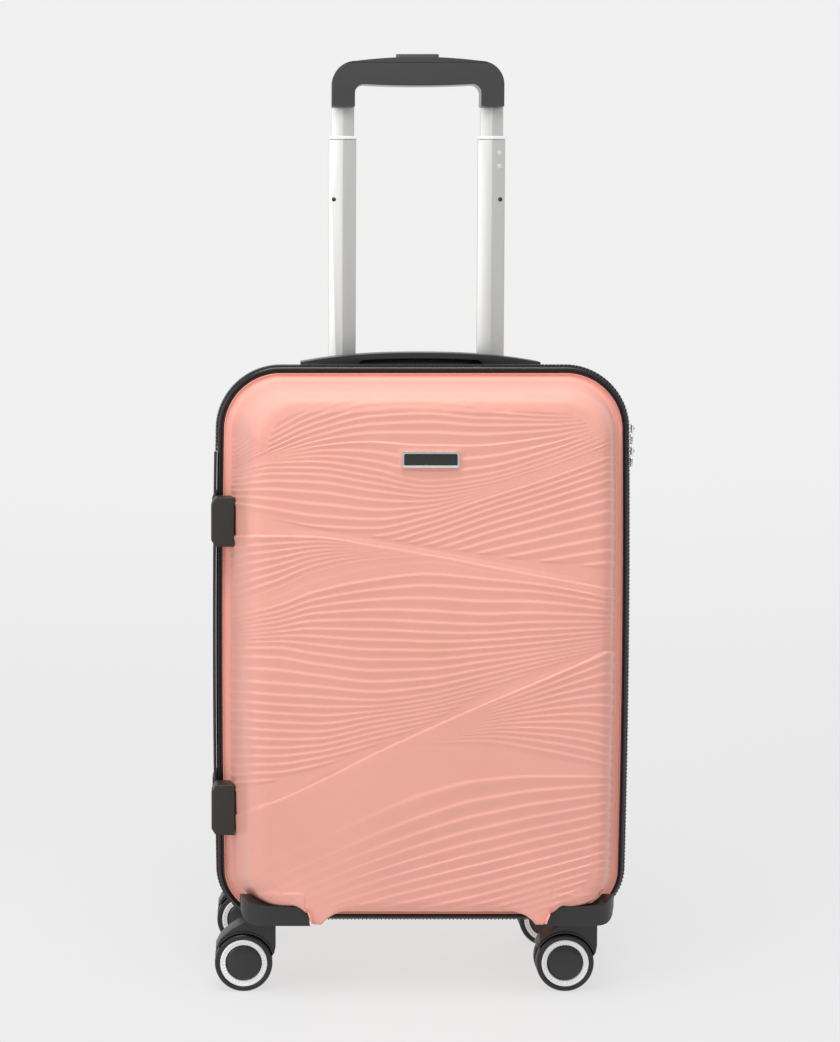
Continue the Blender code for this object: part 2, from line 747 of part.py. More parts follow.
def build_cup():
    """The basin that the grip drops into, with a throat for each tube."""
    half_x, half_y = CUP_HALF
    low = CUP_FLOOR - 0.002
    shape = rounded_outline(half_x, half_y, 0.010)
    half = (CUP_HIGH - low) / 2
    place = Matrix.Translation((0, TROLLEY_Y, low + half))
    cup = add_object("trolley_cup", plate_mesh("trolley_cup", [shape], half, place), "black_moulding")
    inner = rounded_outline(half_x - 0.0020, half_y - 0.0020, 0.0085)
    place = Matrix.Translation((0, TROLLEY_Y, CUP_FLOOR + 0.05))
    tools = [plate_mesh("basin", [inner], 0.05, place)]
    for x in (-TUBE_X, TUBE_X):
        place = Matrix.Translation((x, TROLLEY_Y, CUP_FLOOR))
        tools.append(plate_mesh("throat", [tube_outline(MIDDLE_TUBE, 0.0004)], 0.01, place))
    combine(cup, tools, "DIFFERENCE")


def grip_outline():
    """The grip seen from the front, with its slightly arched top, down to the legs' ends."""
    out, leg = GRIP_HALF, GRIP_HALF - GRIP_LEG
    high = GRIP_HIGH - GRIP_ARCH
    right = [(out, GRIP_LOW)]
    right += arc(out - GRIP_CORNER, high - GRIP_CORNER, GRIP_CORNER, 0, 6)
    right = [p for p in right if p[0] > 0]
    left = [(-x, z) for x, z in reversed(right)]
    fillet = GRIP_FILLET
    under = [(-leg, GRIP_LOW), (-leg, GRIP_UNDER - fillet), (-leg + fillet * 0.3, GRIP_UNDER - fillet * 0.3)]
    under += [(-leg + fillet, GRIP_UNDER), (0, GRIP_UNDER - 0.0012)]
    under += [(-x, z) for x, z in reversed(under[:-1])]
    return right + [(0.0, GRIP_HIGH)] + left + under


def build_grip():
    """The grip in two mouldings, and the push button whose bar and rods reach into the tubes."""
    half = GRIP_DEPTH / 2
    body = plate_mesh("grip_body", [grip_outline()], half, facing_front(TROLLEY_Y))
    body = bevelled(add_object("grip_body", body, "grip"), 0.0045, 3)
    y_low, y_high = TROLLEY_Y - 0.0050, TROLLEY_Y + 0.0050
    tools = [
        box_mesh("above", (-0.1, 0, GRIP_SPLIT), (0.1, 0.15, 0.9)),
        box_mesh("channel", (-0.0720, y_low, GRIP_CHANNEL_LOW), (0.0720, y_high, 0.8500)),
    ]
    for x in (-TUBE_X, TUBE_X):
        start = (x, TROLLEY_Y, GRIP_LOW - 0.01)
        end = (x, TROLLEY_Y, GRIP_CHANNEL_LOW + 0.0065)
        tools.append(rod_mesh("bore", start, end, ROD_RADIUS + 0.0007, 12))
    combine(body, tools, "DIFFERENCE")

    cover = plate_mesh("grip_cover", [grip_outline()], half, facing_front(TROLLEY_Y))
    cover = bevelled(add_object("grip_cover", cover, "grip"), 0.0045, 3)
    hole = rounded_outline(BUTTON_HALF + 0.0004, 0.0059, 0.0044)
    place = Matrix.Translation((0, TROLLEY_Y, GRIP_HIGH))
    tools = [
        box_mesh("below", (-0.1, 0, 0.7), (0.1, 0.15, GRIP_SPLIT + GAP)),
        plate_mesh("hole", [hole], 0.01, place),
    ]
    combine(cover, tools, "DIFFERENCE")

    low = BUTTON_LOW
    shape = rounded_outline(BUTTON_HALF, 0.0045, 0.0040)
    place = Matrix.Translation((0, TROLLEY_Y, (low + BUTTON_HIGH) / 2))
    mesh = plate_mesh("grip_button", [shape], (BUTTON_HIGH - low) / 2, place)
    button = add_object("grip_button", mesh, "button")
    bar = box_mesh(
        "bar",
        (-TUBE_X - 0.003, y_low + 0.0012, low - 0.0010),
        (TUBE_X + 0.003, y_high - 0.0012, low + 0.0020),
    )
    rods = [
        rod_mesh("rod", (x, TROLLEY_Y, ROD_LOW), (x, TROLLEY_Y, low + 0.0010), ROD_RADIUS, 8)
        for x in (-TUBE_X, TUBE_X)
    ]
    combine(button, [bar, *rods], "UNION")


# Carry handles and lock


def handle_outline(half, high, low, gap_high, gap_half):
    """A low arched grip seen from the side: x along it and z away from the case."""
    count = 8
    top = []
    for i in range(count + 1):
        x = half - 2 * half * i / count
        fall = 0.0085 * abs(x / half) ** 2.4
        top.append((x, high - fall))
    under = [(-half, low), (-gap_half - 0.010, low)]
    for i in range(7):
        x = -gap_half + 2 * gap_half * i / 6
        under.append((x, gap_high - 0.0010 * (x / gap_half) ** 2))
    under += [(gap_half + 0.010, low), (half, low)]
    return top + under


def build_carry_handle():
    """The top handle: a low base let into the seam side of the rear shell and a grip that lifts."""
    base_low, base_high = CARRY_BASE
    shape = rounded_outline(CARRY_HALF + 0.004, 0.0155, 0.0080)
    place = Matrix.Translation((0, CARRY_Y, (base_low + base_high) / 2))
    mesh = plate_mesh("carry_handle_base", [shape], (base_high - base_low) / 2, place)
    base = bevelled(add_object("carry_handle_base", mesh, "black_moulding"), 0.0015, 2)
    dish = box_mesh(
        "dish", (-0.0560, CARRY_Y - 0.0110, base_high - 0.0060), (0.0560, CARRY_Y + 0.0110, 0.6)
    )
    combine(base, [shell_block(REAR_SECTION, 1, GAP), dish], "DIFFERENCE")
    grip_low = base_high + GAP
    shape = handle_outline(CARRY_HALF, CARRY_HIGH, grip_low, CARRY_HIGH - 0.0050, 0.0520)
    mesh = plate_mesh("carry_handle_grip", [shape], 0.0125, facing_front(CARRY_Y))
    bevelled(add_object("carry_handle_grip", mesh, "black_moulding"), 0.0018, 2, 30)


def build_side_handle():
    """The side handle, on the right of the rear shell."""
    middle_y = SIDE_HANDLE_Y
    turn = Matrix(((0, 1, 0, 0), (0, 0, 1, middle_y), (1, 0, 0, SIDE_HANDLE_Z), (0, 0, 0, 1)))
    base_low, base_high = SIDE_HANDLE_BASE
    shape = rounded_outline(SIDE_HANDLE_HALF + 0.004, 0.0150, 0.0080)
    mesh = plate_mesh("side_handle_base", [shape], (base_high - base_low) / 2)
    lay = Matrix(
        ((0, 0, 1, (base_low + base_high) / 2), (0, 1, 0, middle_y), (1, 0, 0, SIDE_HANDLE_Z), (0, 0, 0, 1))
    )
    mesh.transform(lay)
    mesh.flip_normals()
    base = bevelled(add_object("side_handle_base", mesh, "black_moulding"), 0.0015, 2)
    dish = box_mesh(
        "dish",
        (base_high - 0.0040, middle_y - 0.0105, SIDE_HANDLE_Z - 0.0500),
        (0.2, middle_y + 0.0105, SIDE_HANDLE_Z + 0.0500),
    )
    combine(base, [shell_block(REAR_SECTION, 1, GAP), dish], "DIFFERENCE")
    shape = handle_outline(SIDE_HANDLE_HALF, SIDE_HANDLE_X, base_high + GAP, SIDE_HANDLE_X - 0.0045, 0.0460)
    mesh = plate_mesh("side_handle_grip", [shape], 0.0120)
    mesh.transform(turn)
    bm = bmesh.new()
    bm.from_mesh(mesh)
    mesh = mesh_from(bm, "side_handle_grip")
    bevelled(add_object("side_handle_grip", mesh, "black_moulding"), 0.0018, 2, 30)


def build_lock():
    """The lock on the right side: a housing, three number wheels and a release slide."""
    low, high = LOCK_Z
    block = box_mesh("lock_housing", (0.1600, 0.0105, low), (0.1825, 0.0400, high))
    housing = bevelled(add_object("lock_housing", block, "black_moulding"), 0.0020, 2)
    tools = [shell_block(REAR_SECTION, 1, GAP)]
    for z in DIAL_Z:
        reach = DIAL_HALF + 0.0004
        tools.append(rod_mesh("pocket", (DIAL_X, DIAL_Y, z - reach), (DIAL_X, DIAL_Y, z + reach), 0.0061, 16))
    tools.append(box_mesh("slot", (0.1790, 0.0185, 0.4685), (0.1900, 0.0315, 0.4785)))
    combine(housing, tools, "DIFFERENCE")
    for count, z in enumerate(DIAL_Z, 1):
        profile = [
            (0.0, DIAL_HALF),
            (DIAL_RADIUS - 0.0005, DIAL_HALF),
            (DIAL_RADIUS, DIAL_HALF - 0.0006),
            (DIAL_RADIUS, -DIAL_HALF + 0.0006),
            (DIAL_RADIUS - 0.0005, -DIAL_HALF),
            (0.0, -DIAL_HALF),
        ]
        turned(f"lock_dial_{count}", profile, 20, "button", (0, 0, 1), (DIAL_X, DIAL_Y, z))
    slide = box_mesh("lock_slide", (0.1793, 0.0188, 0.4689), (0.1838, 0.0268, 0.4781))
    bevelled(add_object("lock_slide", slide, "chrome", (0.1815, 0.0228, 0.4735)), 0.0008, 1)


def build_zip_pulls():
    """Two zip sliders on the right side of the seam, each with a tab hanging from it."""
    x = HALF_WIDTH + ZIP_PROUD + 0.0031
    for word, z in zip(("upper", "lower"), SLIDER_Z):
        name = f"zip_slider_{word}"
        block = box_mesh(name, (x - 0.0009, -0.0042, z - 0.0040), (x + 0.0014, 0.0042, z + 0.0040))
        bevelled(add_object(name, block, "chrome"), 0.0007, 1)
        hang = z - 0.0050
        name = f"zip_tab_{word}"
        tab = box_mesh(name, (x - 0.0008, -0.0036, hang - TAB_LENGTH), (x + 0.0008, 0.0036, hang))
        bevelled(add_object(name, tab, "chrome", (x, 0, hang)), 0.0005, 1)


def cut_rear_shell(rear):
    """The openings in the rear shell for the pull handle's cup."""
    half_x, half_y = CUP_HALF
    shape = rounded_outline(half_x + GAP, half_y + GAP, 0.010)
    place = Matrix.Translation((0, TROLLEY_Y, CUP_HIGH))
    combine(rear, [plate_mesh("cup_hole", [shape], 0.05, place)], "DIFFERENCE")


def main():
    build_half("front", FRONT_SECTION, -1)
    rear = build_half("rear", REAR_SECTION, 1)
    cut_rear_shell(rear)
    build_hinge_band()
    for word, (low, high) in zip(("lower", "upper"), FEET):
        build_foot(f"front_foot_{word}", low, high, FRONT_SECTION, -1)
        build_foot(f"rear_foot_{word}", low, high, REAR_SECTION, 1)
    build_badge()
    build_inside()
    for depth, section, facing in (("front", FRONT_SECTION, -1), ("rear", REAR_SECTION, 1)):
        for word, side in (("left", -1), ("right", 1)):
            build_housing(f"wheel_housing_{depth}_{word}", side, section, facing)
            build_caster(f"caster_{depth}_{word}", side, facing)
    build_trolley()
    build_carry_handle()
    build_side_handle()
    build_lock()
    build_zip_pulls()


main()
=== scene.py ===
"""The looks of a hard shell cabin suitcase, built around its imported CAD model.

Metres, +Z up, +Y to the back of the case. The sections below are: dimensions, materials, mesh tools,
the seam's outline, ridges and shells, seam, casters, pull handle, carry handles, small parts, inside,
stage.
"""

import math

import bmesh
import bpy
import numpy as np
from mathutils import Matrix, Vector


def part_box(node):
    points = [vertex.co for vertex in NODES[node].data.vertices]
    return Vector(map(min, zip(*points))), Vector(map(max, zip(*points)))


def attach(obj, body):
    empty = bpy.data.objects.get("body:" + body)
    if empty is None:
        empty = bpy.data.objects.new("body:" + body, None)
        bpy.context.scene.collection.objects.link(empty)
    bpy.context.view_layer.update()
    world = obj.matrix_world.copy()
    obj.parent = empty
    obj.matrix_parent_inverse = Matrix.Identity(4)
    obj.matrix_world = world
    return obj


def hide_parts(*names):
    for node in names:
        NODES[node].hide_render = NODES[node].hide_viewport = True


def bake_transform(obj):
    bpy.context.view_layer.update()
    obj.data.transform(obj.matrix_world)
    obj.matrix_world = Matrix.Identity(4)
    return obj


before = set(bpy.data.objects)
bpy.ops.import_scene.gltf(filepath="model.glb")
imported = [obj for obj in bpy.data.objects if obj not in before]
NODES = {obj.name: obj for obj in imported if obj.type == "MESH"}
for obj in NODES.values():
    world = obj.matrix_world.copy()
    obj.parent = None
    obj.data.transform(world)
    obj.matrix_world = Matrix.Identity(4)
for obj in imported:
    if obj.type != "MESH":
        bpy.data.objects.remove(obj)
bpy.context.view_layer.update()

# Dimensions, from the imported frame. The seam's outline has straight top and bottom edges, sides that
# bulge, and round corners. The shells' edges lie EDGE_Y in front of it and behind it.
SHELL_LOW, SHELL_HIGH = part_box("front_shell")
HALF_WIDTH = 0.1749
BULGE = 0.0026
EDGE_LOW = 0.0487
EDGE_HIGH = SHELL_HIGH.z
EDGE_Y = -SHELL_HIGH.y
CORNER_HIGH = 0.049
CORNER_LOW = 0.040
SHELL_MIDDLE_Z = 0.29
SHELL_WALL = 0.002
GAP = 0.0003

# Each shell's section: depth from its edge, then how far the sides, top and bottom have drawn in.
FRONT_SECTION = (
    (0.0060, 0.0058, 0.0050, 0.0058),
    (0.0240, 0.0092, 0.0062, 0.0115),
    (0.0500, 0.0142, 0.0078, 0.0195),
    (0.0760, 0.0196, 0.0098, 0.0285),
    (0.0830, 0.0220, 0.0116, 0.0308),
    (0.0880, 0.0256, 0.0150, 0.0342),
    (0.0913, 0.0308, 0.0200, 0.0392),
    (0.0925, 0.0385, 0.0272, 0.0470),
)
REAR_SECTION = (
    (0.0060, 0.0058, 0.0050, 0.0058),
    (0.0240, 0.0088, 0.0062, 0.0115),
    (0.0500, 0.0122, 0.0078, 0.0195),
    (0.0760, 0.0160, 0.0098, 0.0285),
    (0.0840, 0.0186, 0.0118, 0.0325),
    (0.0895, 0.0228, 0.0155, 0.0375),
    (0.0928, 0.0285, 0.0208, 0.0435),
    (0.0940, 0.0370, 0.0280, 0.0515),
)
# The flange's lip and groove, and the bead at the wall's foot: depth, then share of the first station.
FLANGE = (
    (0.0, 0.10), (0.0004, 0.0), (0.0030, 0.0), (0.0034, 0.03), (0.0034, 0.09),
    (0.0026, 0.16), (0.0023, 0.26), (0.0023, 0.60), (0.0030, 0.74),
)
BEAD = ((0.0044, 0.79), (0.0051, 0.83), (0.0055, 0.90), (0.0058, 0.99), (0.0066, 1.03), (0.0080, 1.04))
# The tapered tongues beside the housings: their flat end, how low it is, how far it rounds up at the
# face, how wide the fillets are, and the share of the drop that the edge between them keeps.
TONGUE = (0.0905, 0.0995)
TONGUE_LOW = 0.0645
TONGUE_ROUND = 0.0024
TONGUE_FILLET = (0.0042, 0.0034)
MIDDLE_DROP = 0.33
# The skins' face grid, and the step between rows down their walls.
SKIN_GRID = ((200, 540))
ROW_STEP = 0.0021


# Materials


def add(tree, kind, **inputs):
    """A shader node with constants on its sockets."""
    made = tree.nodes.new(kind)
    for name, value in inputs.items():
        made.inputs[name.replace("_", " ")].default_value = value
    return made


def noise(tree, source, **inputs):
    """Cloudy noise over a vector, as the socket of its strength."""
    made = add(tree, "ShaderNodeTexNoise", **inputs)
    tree.links.new(source, made.inputs["Vector"])
    return made.outputs["Fac"]


def weave_height(tree, source, scale):
    """Threads: the sum of fine waves along the three axes."""
    height = None
    for axis in "XYZ":
        wave = add(tree, "ShaderNodeTexWave", Scale=scale, Distortion=0.6, Detail=1.0)
        wave.bands_direction = axis
        tree.links.new(source, wave.inputs["Vector"])
        if height is None:
            height = wave.outputs["Fac"]
            continue
        both = add(tree, "ShaderNodeMath")
        both.operation = "ADD"
        tree.links.new(height, both.inputs[0])
        tree.links.new(wave.outputs["Fac"], both.inputs[1])
        height = both.outputs[0]
    return height


def surface(name, colour, roughness, metallic=0.0, tint=0.10, blotch=22.0, spread=0.05,
            grain=(900.0, 0.10), streak=(1.0, 1.0, 1.0), weave=None, **sockets):
    """A procedural finish: cloudy colour, uneven roughness, and a fine grain or a weave in the bump."""
    material = bpy.data.materials.new(name)
    material.use_nodes = True
    tree = material.node_tree
    link = tree.links.new
    shader = tree.nodes["Principled BSDF"]
    shader.inputs["Metallic"].default_value = metallic
    for socket, value in sockets.items():
        shader.inputs[socket.replace("_", " ")].default_value = value
    place = add(tree, "ShaderNodeTexCoord").outputs["Object"]
    stretch = add(tree, "ShaderNodeMapping", Scale=streak)
    link(place, stretch.inputs["Vector"])
    stretched = stretch.outputs["Vector"]

    ramp = add(tree, "ShaderNodeValToRGB")
    for stop, position, share in ((0, 0.32, 1 - tint), (1, 0.68, 1 + tint * 0.5)):
        ramp.color_ramp.elements[stop].position = position
        ramp.color_ramp.elements[stop].color = (*(min(1.0, c * share) for c in colour), 1.0)
    link(noise(tree, stretched, Scale=blotch, Detail=4.0, Roughness=0.6), ramp.inputs["Fac"])
    link(ramp.outputs["Color"], shader.inputs["Base Color"])

    least = max(0.02, roughness - spread)
    uneven = add(tree, "ShaderNodeMapRange", To_Min=least, To_Max=roughness + spread)
    link(noise(tree, stretched, Scale=blotch * 7, Detail=3.0), uneven.inputs["Value"])
    link(uneven.outputs["Result"], shader.inputs["Roughness"])

    pores_scale, strength = grain
    bump = add(tree, "ShaderNodeBump", Strength=strength, Distance=0.0004)
    if weave:
        link(weave_height(tree, place, weave), bump.inputs["Height"])
    else:
        link(noise(tree, stretched, Scale=pores_scale, Detail=2.0), bump.inputs["Height"])
    link(bump.outputs["Normal"], shader.inputs["Normal"])
    return material


PINK = surface("pink_shell", (0.815, 0.395, 0.324), 0.40, tint=0.05, blotch=9.0, grain=(1500, 0.06),
               Specular_IOR_Level=0.20, Specular_Tint=(1.0, 0.62, 0.54, 1.0))
PIPING = surface("black_trim", (0.012, 0.012, 0.013), 0.26, grain=(1200, 0.05))
TAPE = surface("zip_tape", (0.020, 0.019, 0.019), 0.80, weave=260.0, grain=(0, 0.5))
TEETH = surface("zip_teeth", (0.025, 0.025, 0.026), 0.38, grain=(1500, 0.05))
MOULDING = surface("black_moulding", (0.019, 0.019, 0.0195), 0.38, grain=(2200, 0.16))
FOOT_GREY = surface("foot_moulding", (0.022, 0.023, 0.018), 0.48, grain=(2200, 0.2))
GRIP = surface("grip", (0.026, 0.028, 0.027), 0.40, grain=(2400, 0.2),
               Coat_Weight=0.6, Coat_Roughness=0.22)
GREY = surface("button", (0.085, 0.085, 0.088), 0.38, grain=(2200, 0.1))
TUBE = surface("tube", (0.67, 0.68, 0.66), 0.36, metallic=0.70, tint=0.04, blotch=60.0,
               streak=(1, 1, 0.03), grain=(700, 0.08))
COLLAR = surface("collar", (0.80, 0.80, 0.78), 0.40, tint=0.04)
DOT = surface("tube_dot", (0.60, 0.60, 0.58), 0.50, tint=0.04)
CHROME = surface("chrome", (0.82, 0.82, 0.84), 0.13, metallic=1.0, tint=0.03, spread=0.03,
                 grain=(900, 0.03))
RING = surface("wheel_ring", (0.88, 0.88, 0.88), 0.34, metallic=0.30, tint=0.05, grain=(1500, 0.08))
TYRE = surface("tyre", (0.012, 0.012, 0.013), 0.38, grain=(1400, 0.12))
CAP = surface("wheel_cap", (0.020, 0.020, 0.021), 0.28, grain=(1600, 0.05))
LINING = surface("lining", (0.105, 0.105, 0.112), 0.86, tint=0.12, weave=190.0, grain=(0, 0.6),
                 Sheen_Weight=0.3)
WEBBING = surface("webbing", (0.045, 0.045, 0.050), 0.82, weave=150.0, grain=(0, 0.8), Sheen_Weight=0.2)


# Mesh tools


def span_of(node):
    """A CAD node's centre and half size."""
    low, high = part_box(node)
    return (low + high) / 2, (high - low) / 2


def from_bmesh(name, bm):
    """A bmesh as a new mesh; the bmesh is used up."""
    mesh = bpy.data.meshes.new(name)
    bm.to_mesh(mesh)
    bm.free()
    return mesh


def smoothed(mesh, angle=38):
    """The mesh shaded smooth, but for edges sharper than an angle in degrees."""
    mesh.shade_smooth()
    mesh.set_sharp_from_angle(angle=math.radians(angle))
    return mesh


def mesh_of(name, verts, faces, smooth=True):
    """A mesh from points and faces, with its faces turned outward."""
    mesh = bpy.data.meshes.new(name)
    mesh.from_pydata([tuple(v) for v in verts], [], [tuple(int(i) for i in f) for f in faces])
    bm = bmesh.new()
    bm.from_mesh(mesh)
    bmesh.ops.recalc_face_normals(bm, faces=bm.faces)
    bm.to_mesh(mesh)
    bm.free()
    return smoothed(mesh) if smooth else mesh


def piece(name, mesh, body, slot, *materials, replaces=()):
    """Shows a mesh as a piece on a body, in place of CAD nodes."""
    thing = bpy.data.objects.new(name, mesh)
    bpy.context.scene.collection.objects.link(thing)
    if materials:
        given = np.zeros(len(mesh.polygons), dtype=np.int32)
        mesh.polygons.foreach_get("material_index", given)
        mesh.materials.clear()
        for material in materials:
            mesh.materials.append(material)
        mesh.polygons.foreach_set("material_index", given)
    if body:
        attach(thing, body)
    if replaces:
        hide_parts(*replaces)
    return thing


def loose(data):
    """An object to work on, which is removed later."""
    thing = bpy.data.objects.new("work", data)
    bpy.context.scene.collection.objects.link(thing)
    return thing


def worked(mesh, *steps):
    """The mesh after modifiers, each given as (type, settings)."""
    thing = loose(mesh)
    tools = []
    for kind, settings in steps:
        step = thing.modifiers.new("step", kind)
        for key, value in settings.items():
            if key == "object":
                value = loose(value)
                tools.append(value)
            setattr(step, key, value)
    graph = bpy.context.evaluated_depsgraph_get()
    made = bpy.data.meshes.new_from_object(thing.evaluated_get(graph))
    for used in (thing, *tools):
        bpy.data.objects.remove(used, do_unlink=True)
    return made


def rounded(mesh, width, segments=3, angle=30):
    """The mesh with every edge sharper than an angle rounded off."""
    settings = {"width": width, "segments": segments, "limit_method": "ANGLE"}
    return smoothed(worked(mesh, ("BEVEL", settings | {"angle_limit": math.radians(angle)})))


def cut(mesh, tool, angle=38):
    """The mesh less a tool, which is used up."""
    settings = {"operation": "DIFFERENCE", "solver": "EXACT", "object": tool}
    return smoothed(worked(mesh, ("BOOLEAN", settings)), angle)


def joined(name, meshes):
    """Several (material index, mesh) pairs as one mesh."""
    bm = bmesh.new()
    for index, mesh in meshes:
        before = len(bm.faces)
        bm.from_mesh(mesh)
        bm.faces.ensure_lookup_table()
        for face in bm.faces[before:]:
            face.material_index = index
    return smoothed(from_bmesh(name, bm))


def plate(outlines, half, place=Matrix()):
    """A flat outline, and any holes after it, filled and extruded by half each way."""
    curve = bpy.data.curves.new("plate", "CURVE")
    curve.dimensions = "2D"
    curve.fill_mode = "BOTH"
    curve.extrude = half
    for outline in outlines:
        line = curve.splines.new("POLY")
        line.points.add(len(outline) - 1)
        for point, (x, y) in zip(line.points, outline):
            point.co = (x, y, 0.0, 1.0)
        line.use_cyclic_u = True
    guide = loose(curve)
    graph = bpy.context.evaluated_depsgraph_get()
    mesh = bpy.data.meshes.new_from_object(guide.evaluated_get(graph))
    bpy.data.objects.remove(guide, do_unlink=True)
    bm = bmesh.new()
    bm.from_mesh(mesh)
    bmesh.ops.remove_doubles(bm, verts=bm.verts, dist=0.00001)
    bmesh.ops.transform(bm, matrix=place, verts=bm.verts)
    bmesh.ops.recalc_face_normals(bm, faces=bm.faces)
    bm.to_mesh(mesh)
    bm.free()
    return mesh


def facing_front(y, x=0.0, z=0.0):
    """Places an outline's x along X, its y along Z and its thickness along Y."""
    return Matrix.Translation((x, y, z)) @ Matrix.Rotation(math.radians(90), 4, "X")


def facing_side(centre):
    """Places an outline's x along Y, its y along Z and its thickness along X."""
    return Matrix(((0, 0, 1, centre.x), (1, 0, 0, centre.y), (0, 1, 0, centre.z), (0, 0, 0, 1)))


def arc(cx, cz, radius, start, end, count):
    """Points on an arc, from a start angle to an end angle in degrees."""
    turn = [math.radians(start + (end - start) * i / count) for i in range(count + 1)]
    return [(cx + radius * math.cos(a), cz + radius * math.sin(a)) for a in turn]


def rounded_outline(half_x, half_z, radius, centre=(0, 0), count=8):
    """A rectangle with round corners."""
    points = []
    for sx, sz, start in ((1, 1, 0), (-1, 1, 90), (-1, -1, 180), (1, -1, 270)):
        cx, cz = centre[0] + sx * (half_x - radius), centre[1] + sz * (half_z - radius)
        points += arc(cx, cz, radius, start, start + 90, count)
    return points


def box_mesh(low, high):
    bm = bmesh.new()
    bmesh.ops.create_cube(bm, size=1.0)
    size = Vector(high) - Vector(low)
    bmesh.ops.scale(bm, vec=size, verts=bm.verts)
    bmesh.ops.translate(bm, vec=Vector(low) + size / 2, verts=bm.verts)
    return from_bmesh("block", bm)


def rod(start, end, radius, segments=32):
    """A cylinder between two points."""
    bm = bmesh.new()
    along = Vector(end) - Vector(start)
    sizes = {"radius1": radius, "radius2": radius, "depth": along.length}
    bmesh.ops.create_cone(bm, cap_ends=True, segments=segments, **sizes)
    turn = along.to_track_quat("Z", "Y").to_matrix().to_4x4()
    bmesh.ops.transform(bm, matrix=Matrix.Translation(Vector(start) + along / 2) @ turn, verts=bm.verts)
    return smoothed(from_bmesh("rod", bm))


def turned(profile, steps, axis, origin, wave=None):
    """(radius, along) points turned about an axis. wave(radius, step) moves a point along it."""
    rows, verts, faces = [], [], []
    for radius, along in profile:
        if radius < 1e-6:
            rows.append([len(verts)] * steps)
            verts.append((0.0, 0.0, along))
            continue
        rows.append(list(range(len(verts), len(verts) + steps)))
        for i in range(steps):
            a = 2 * math.pi * i / steps
            lift = wave(radius, i) if wave else 0.0
            verts.append((radius * math.cos(a), radius * math.sin(a), along + lift))
    for near, far in zip(rows, rows[1:]):
        for i in range(steps):
            j = (i + 1) % steps
            corners = dict.fromkeys((near[i], near[j], far[j], far[i]))
            if len(corners) > 2:
                faces.append(tuple(corners))
    mesh = mesh_of("turned", verts, faces)
    turn = Vector(axis).to_track_quat("Z", "Y").to_matrix().to_4x4()
    mesh.transform(Matrix.Translation(origin) @ turn)
    return mesh


def kept(node, material, bevel=0.0, segments=2):
    """A CAD node that stays, with a better finish and softened edges."""
    thing = NODES[node]
    thing.data.materials.clear()
    thing.data.materials.append(material)
    weld = thing.modifiers.new("weld", "WELD")
    weld.merge_threshold = 0.000005
    if bevel:
        edge = thing.modifiers.new("soft_edges", "BEVEL")
        edge.width = bevel
        edge.segments = segments
        edge.limit_method = "ANGLE"
        edge.angle_limit = math.radians(35)
        edge.harden_normals = True


# The seam's outline, and the trays that start from it

# Between these places the points of every ring stand in line, so that the face's grid stays even.
STEADY_X = (-0.1000, 0.1000)
STEADY_Z = (0.1300, 0.4700)


def shares(first, last, steady, count):
    """Shares along a straight whose middle stretch keeps its places whatever the draw-in."""
    near, far = sorted(((v - first) / (last - first) for v in steady))
    ends = count // 8
    parts = ((0.0, near, ends), (near, far, count - 2 * ends), (far, 1.0, ends))
    return np.concatenate([np.linspace(a, b, n, endpoint=False) for a, b, n in parts])


def ring(side, top=None, bottom=None, arc_points=8, across=40, up=60):
    """The seam's outline drawn in, anticlockwise from the middle of the low left corner, as an array."""
    top = side if top is None else top
    bottom = side if bottom is None else bottom
    half, low, high = HALF_WIDTH - side, EDGE_LOW + bottom, EDGE_HIGH - top
    draw = max(side, 0.0)
    r_low, r_high = CORNER_LOW - side + 0.5 * draw, CORNER_HIGH - side + 0.5 * draw
    corners = (
        (half - r_low, low + r_low, r_low, 270),
        (half - r_high, high - r_high, r_high, 0),
        (-half + r_high, high - r_high, r_high, 90),
        (-half + r_low, low + r_low, r_low, 180),
    )

    def bend(corner, share_from, share_to):
        cx, cz, radius, start = corner
        a = np.radians(start + np.linspace(share_from, share_to, arc_points, endpoint=False) * 90)
        return np.stack([cx + radius * np.cos(a), cz + radius * np.sin(a)], 1)

    parts = []
    for index, after in enumerate(corners):
        before = corners[index - 1]
        first, last = bend(before, 1.0, 2.0)[0], bend(after, 0.0, 1.0)[0]
        if index % 2 == 0:
            share = shares(first[0], last[0], STEADY_X, across)
        else:
            share = shares(first[1], last[1], STEADY_Z, up)
        parts += [bend(before, 0.5, 1.0), first + share[:, None] * (last - first), bend(after, 0.0, 0.5)]
    points = np.concatenate(parts)
    middle, reach = (low + high) / 2, (high - low) / 2
    points[:, 0] *= 1 + BULGE / HALF_WIDTH * (1 - ((points[:, 1] - middle) / reach) ** 2)
    return points


def steps_of(grid):
    """How a face grid of this many cells shares its outline between corners and straights."""
    half_corner = max(6, grid[0] // 9)
    return {"arc_points": half_corner, "across": grid[0] - 2 * half_corner, "up": grid[1] - 2 * half_corner}


def between(t, run, start, end, start_slope, end_slope):
    """The cubic with these ends and slopes over a run, at the share t of it."""
    return (
        (1 + 2 * t) * (1 - t) ** 2 * start
        + t * (1 - t) ** 2 * run * start_slope
        + t * t * (3 - 2 * t) * end
        + t * t * (t - 1) * run * end_slope
    )


def hermite(at, xs, ys):
    """A smooth line through points, evaluated at an array, without overshoot."""
    xs, ys = np.asarray(xs, float), np.asarray(ys, float)
    shape = (-1, *([1] * (ys.ndim - 1)))
    gap = np.diff(xs)
    slope = np.diff(ys, axis=0) / gap.reshape(shape)
    tangent = np.concatenate([slope[:1], np.zeros_like(slope[1:]), slope[-1:]])
    a, b = slope[:-1], slope[1:]
    same = a * b > 0
    tangent[1:-1] = np.where(same, 2 * a * b / np.where(same, a + b, 1.0), 0.0)
    i = np.clip(np.searchsorted(xs, at) - 1, 0, len(xs) - 2)
    t = np.clip((at - xs[i]) / gap[i], 0, 1).reshape(shape)
    return between(t, gap[i].reshape(shape), ys[i], ys[i + 1], tangent[i], tangent[i + 1])


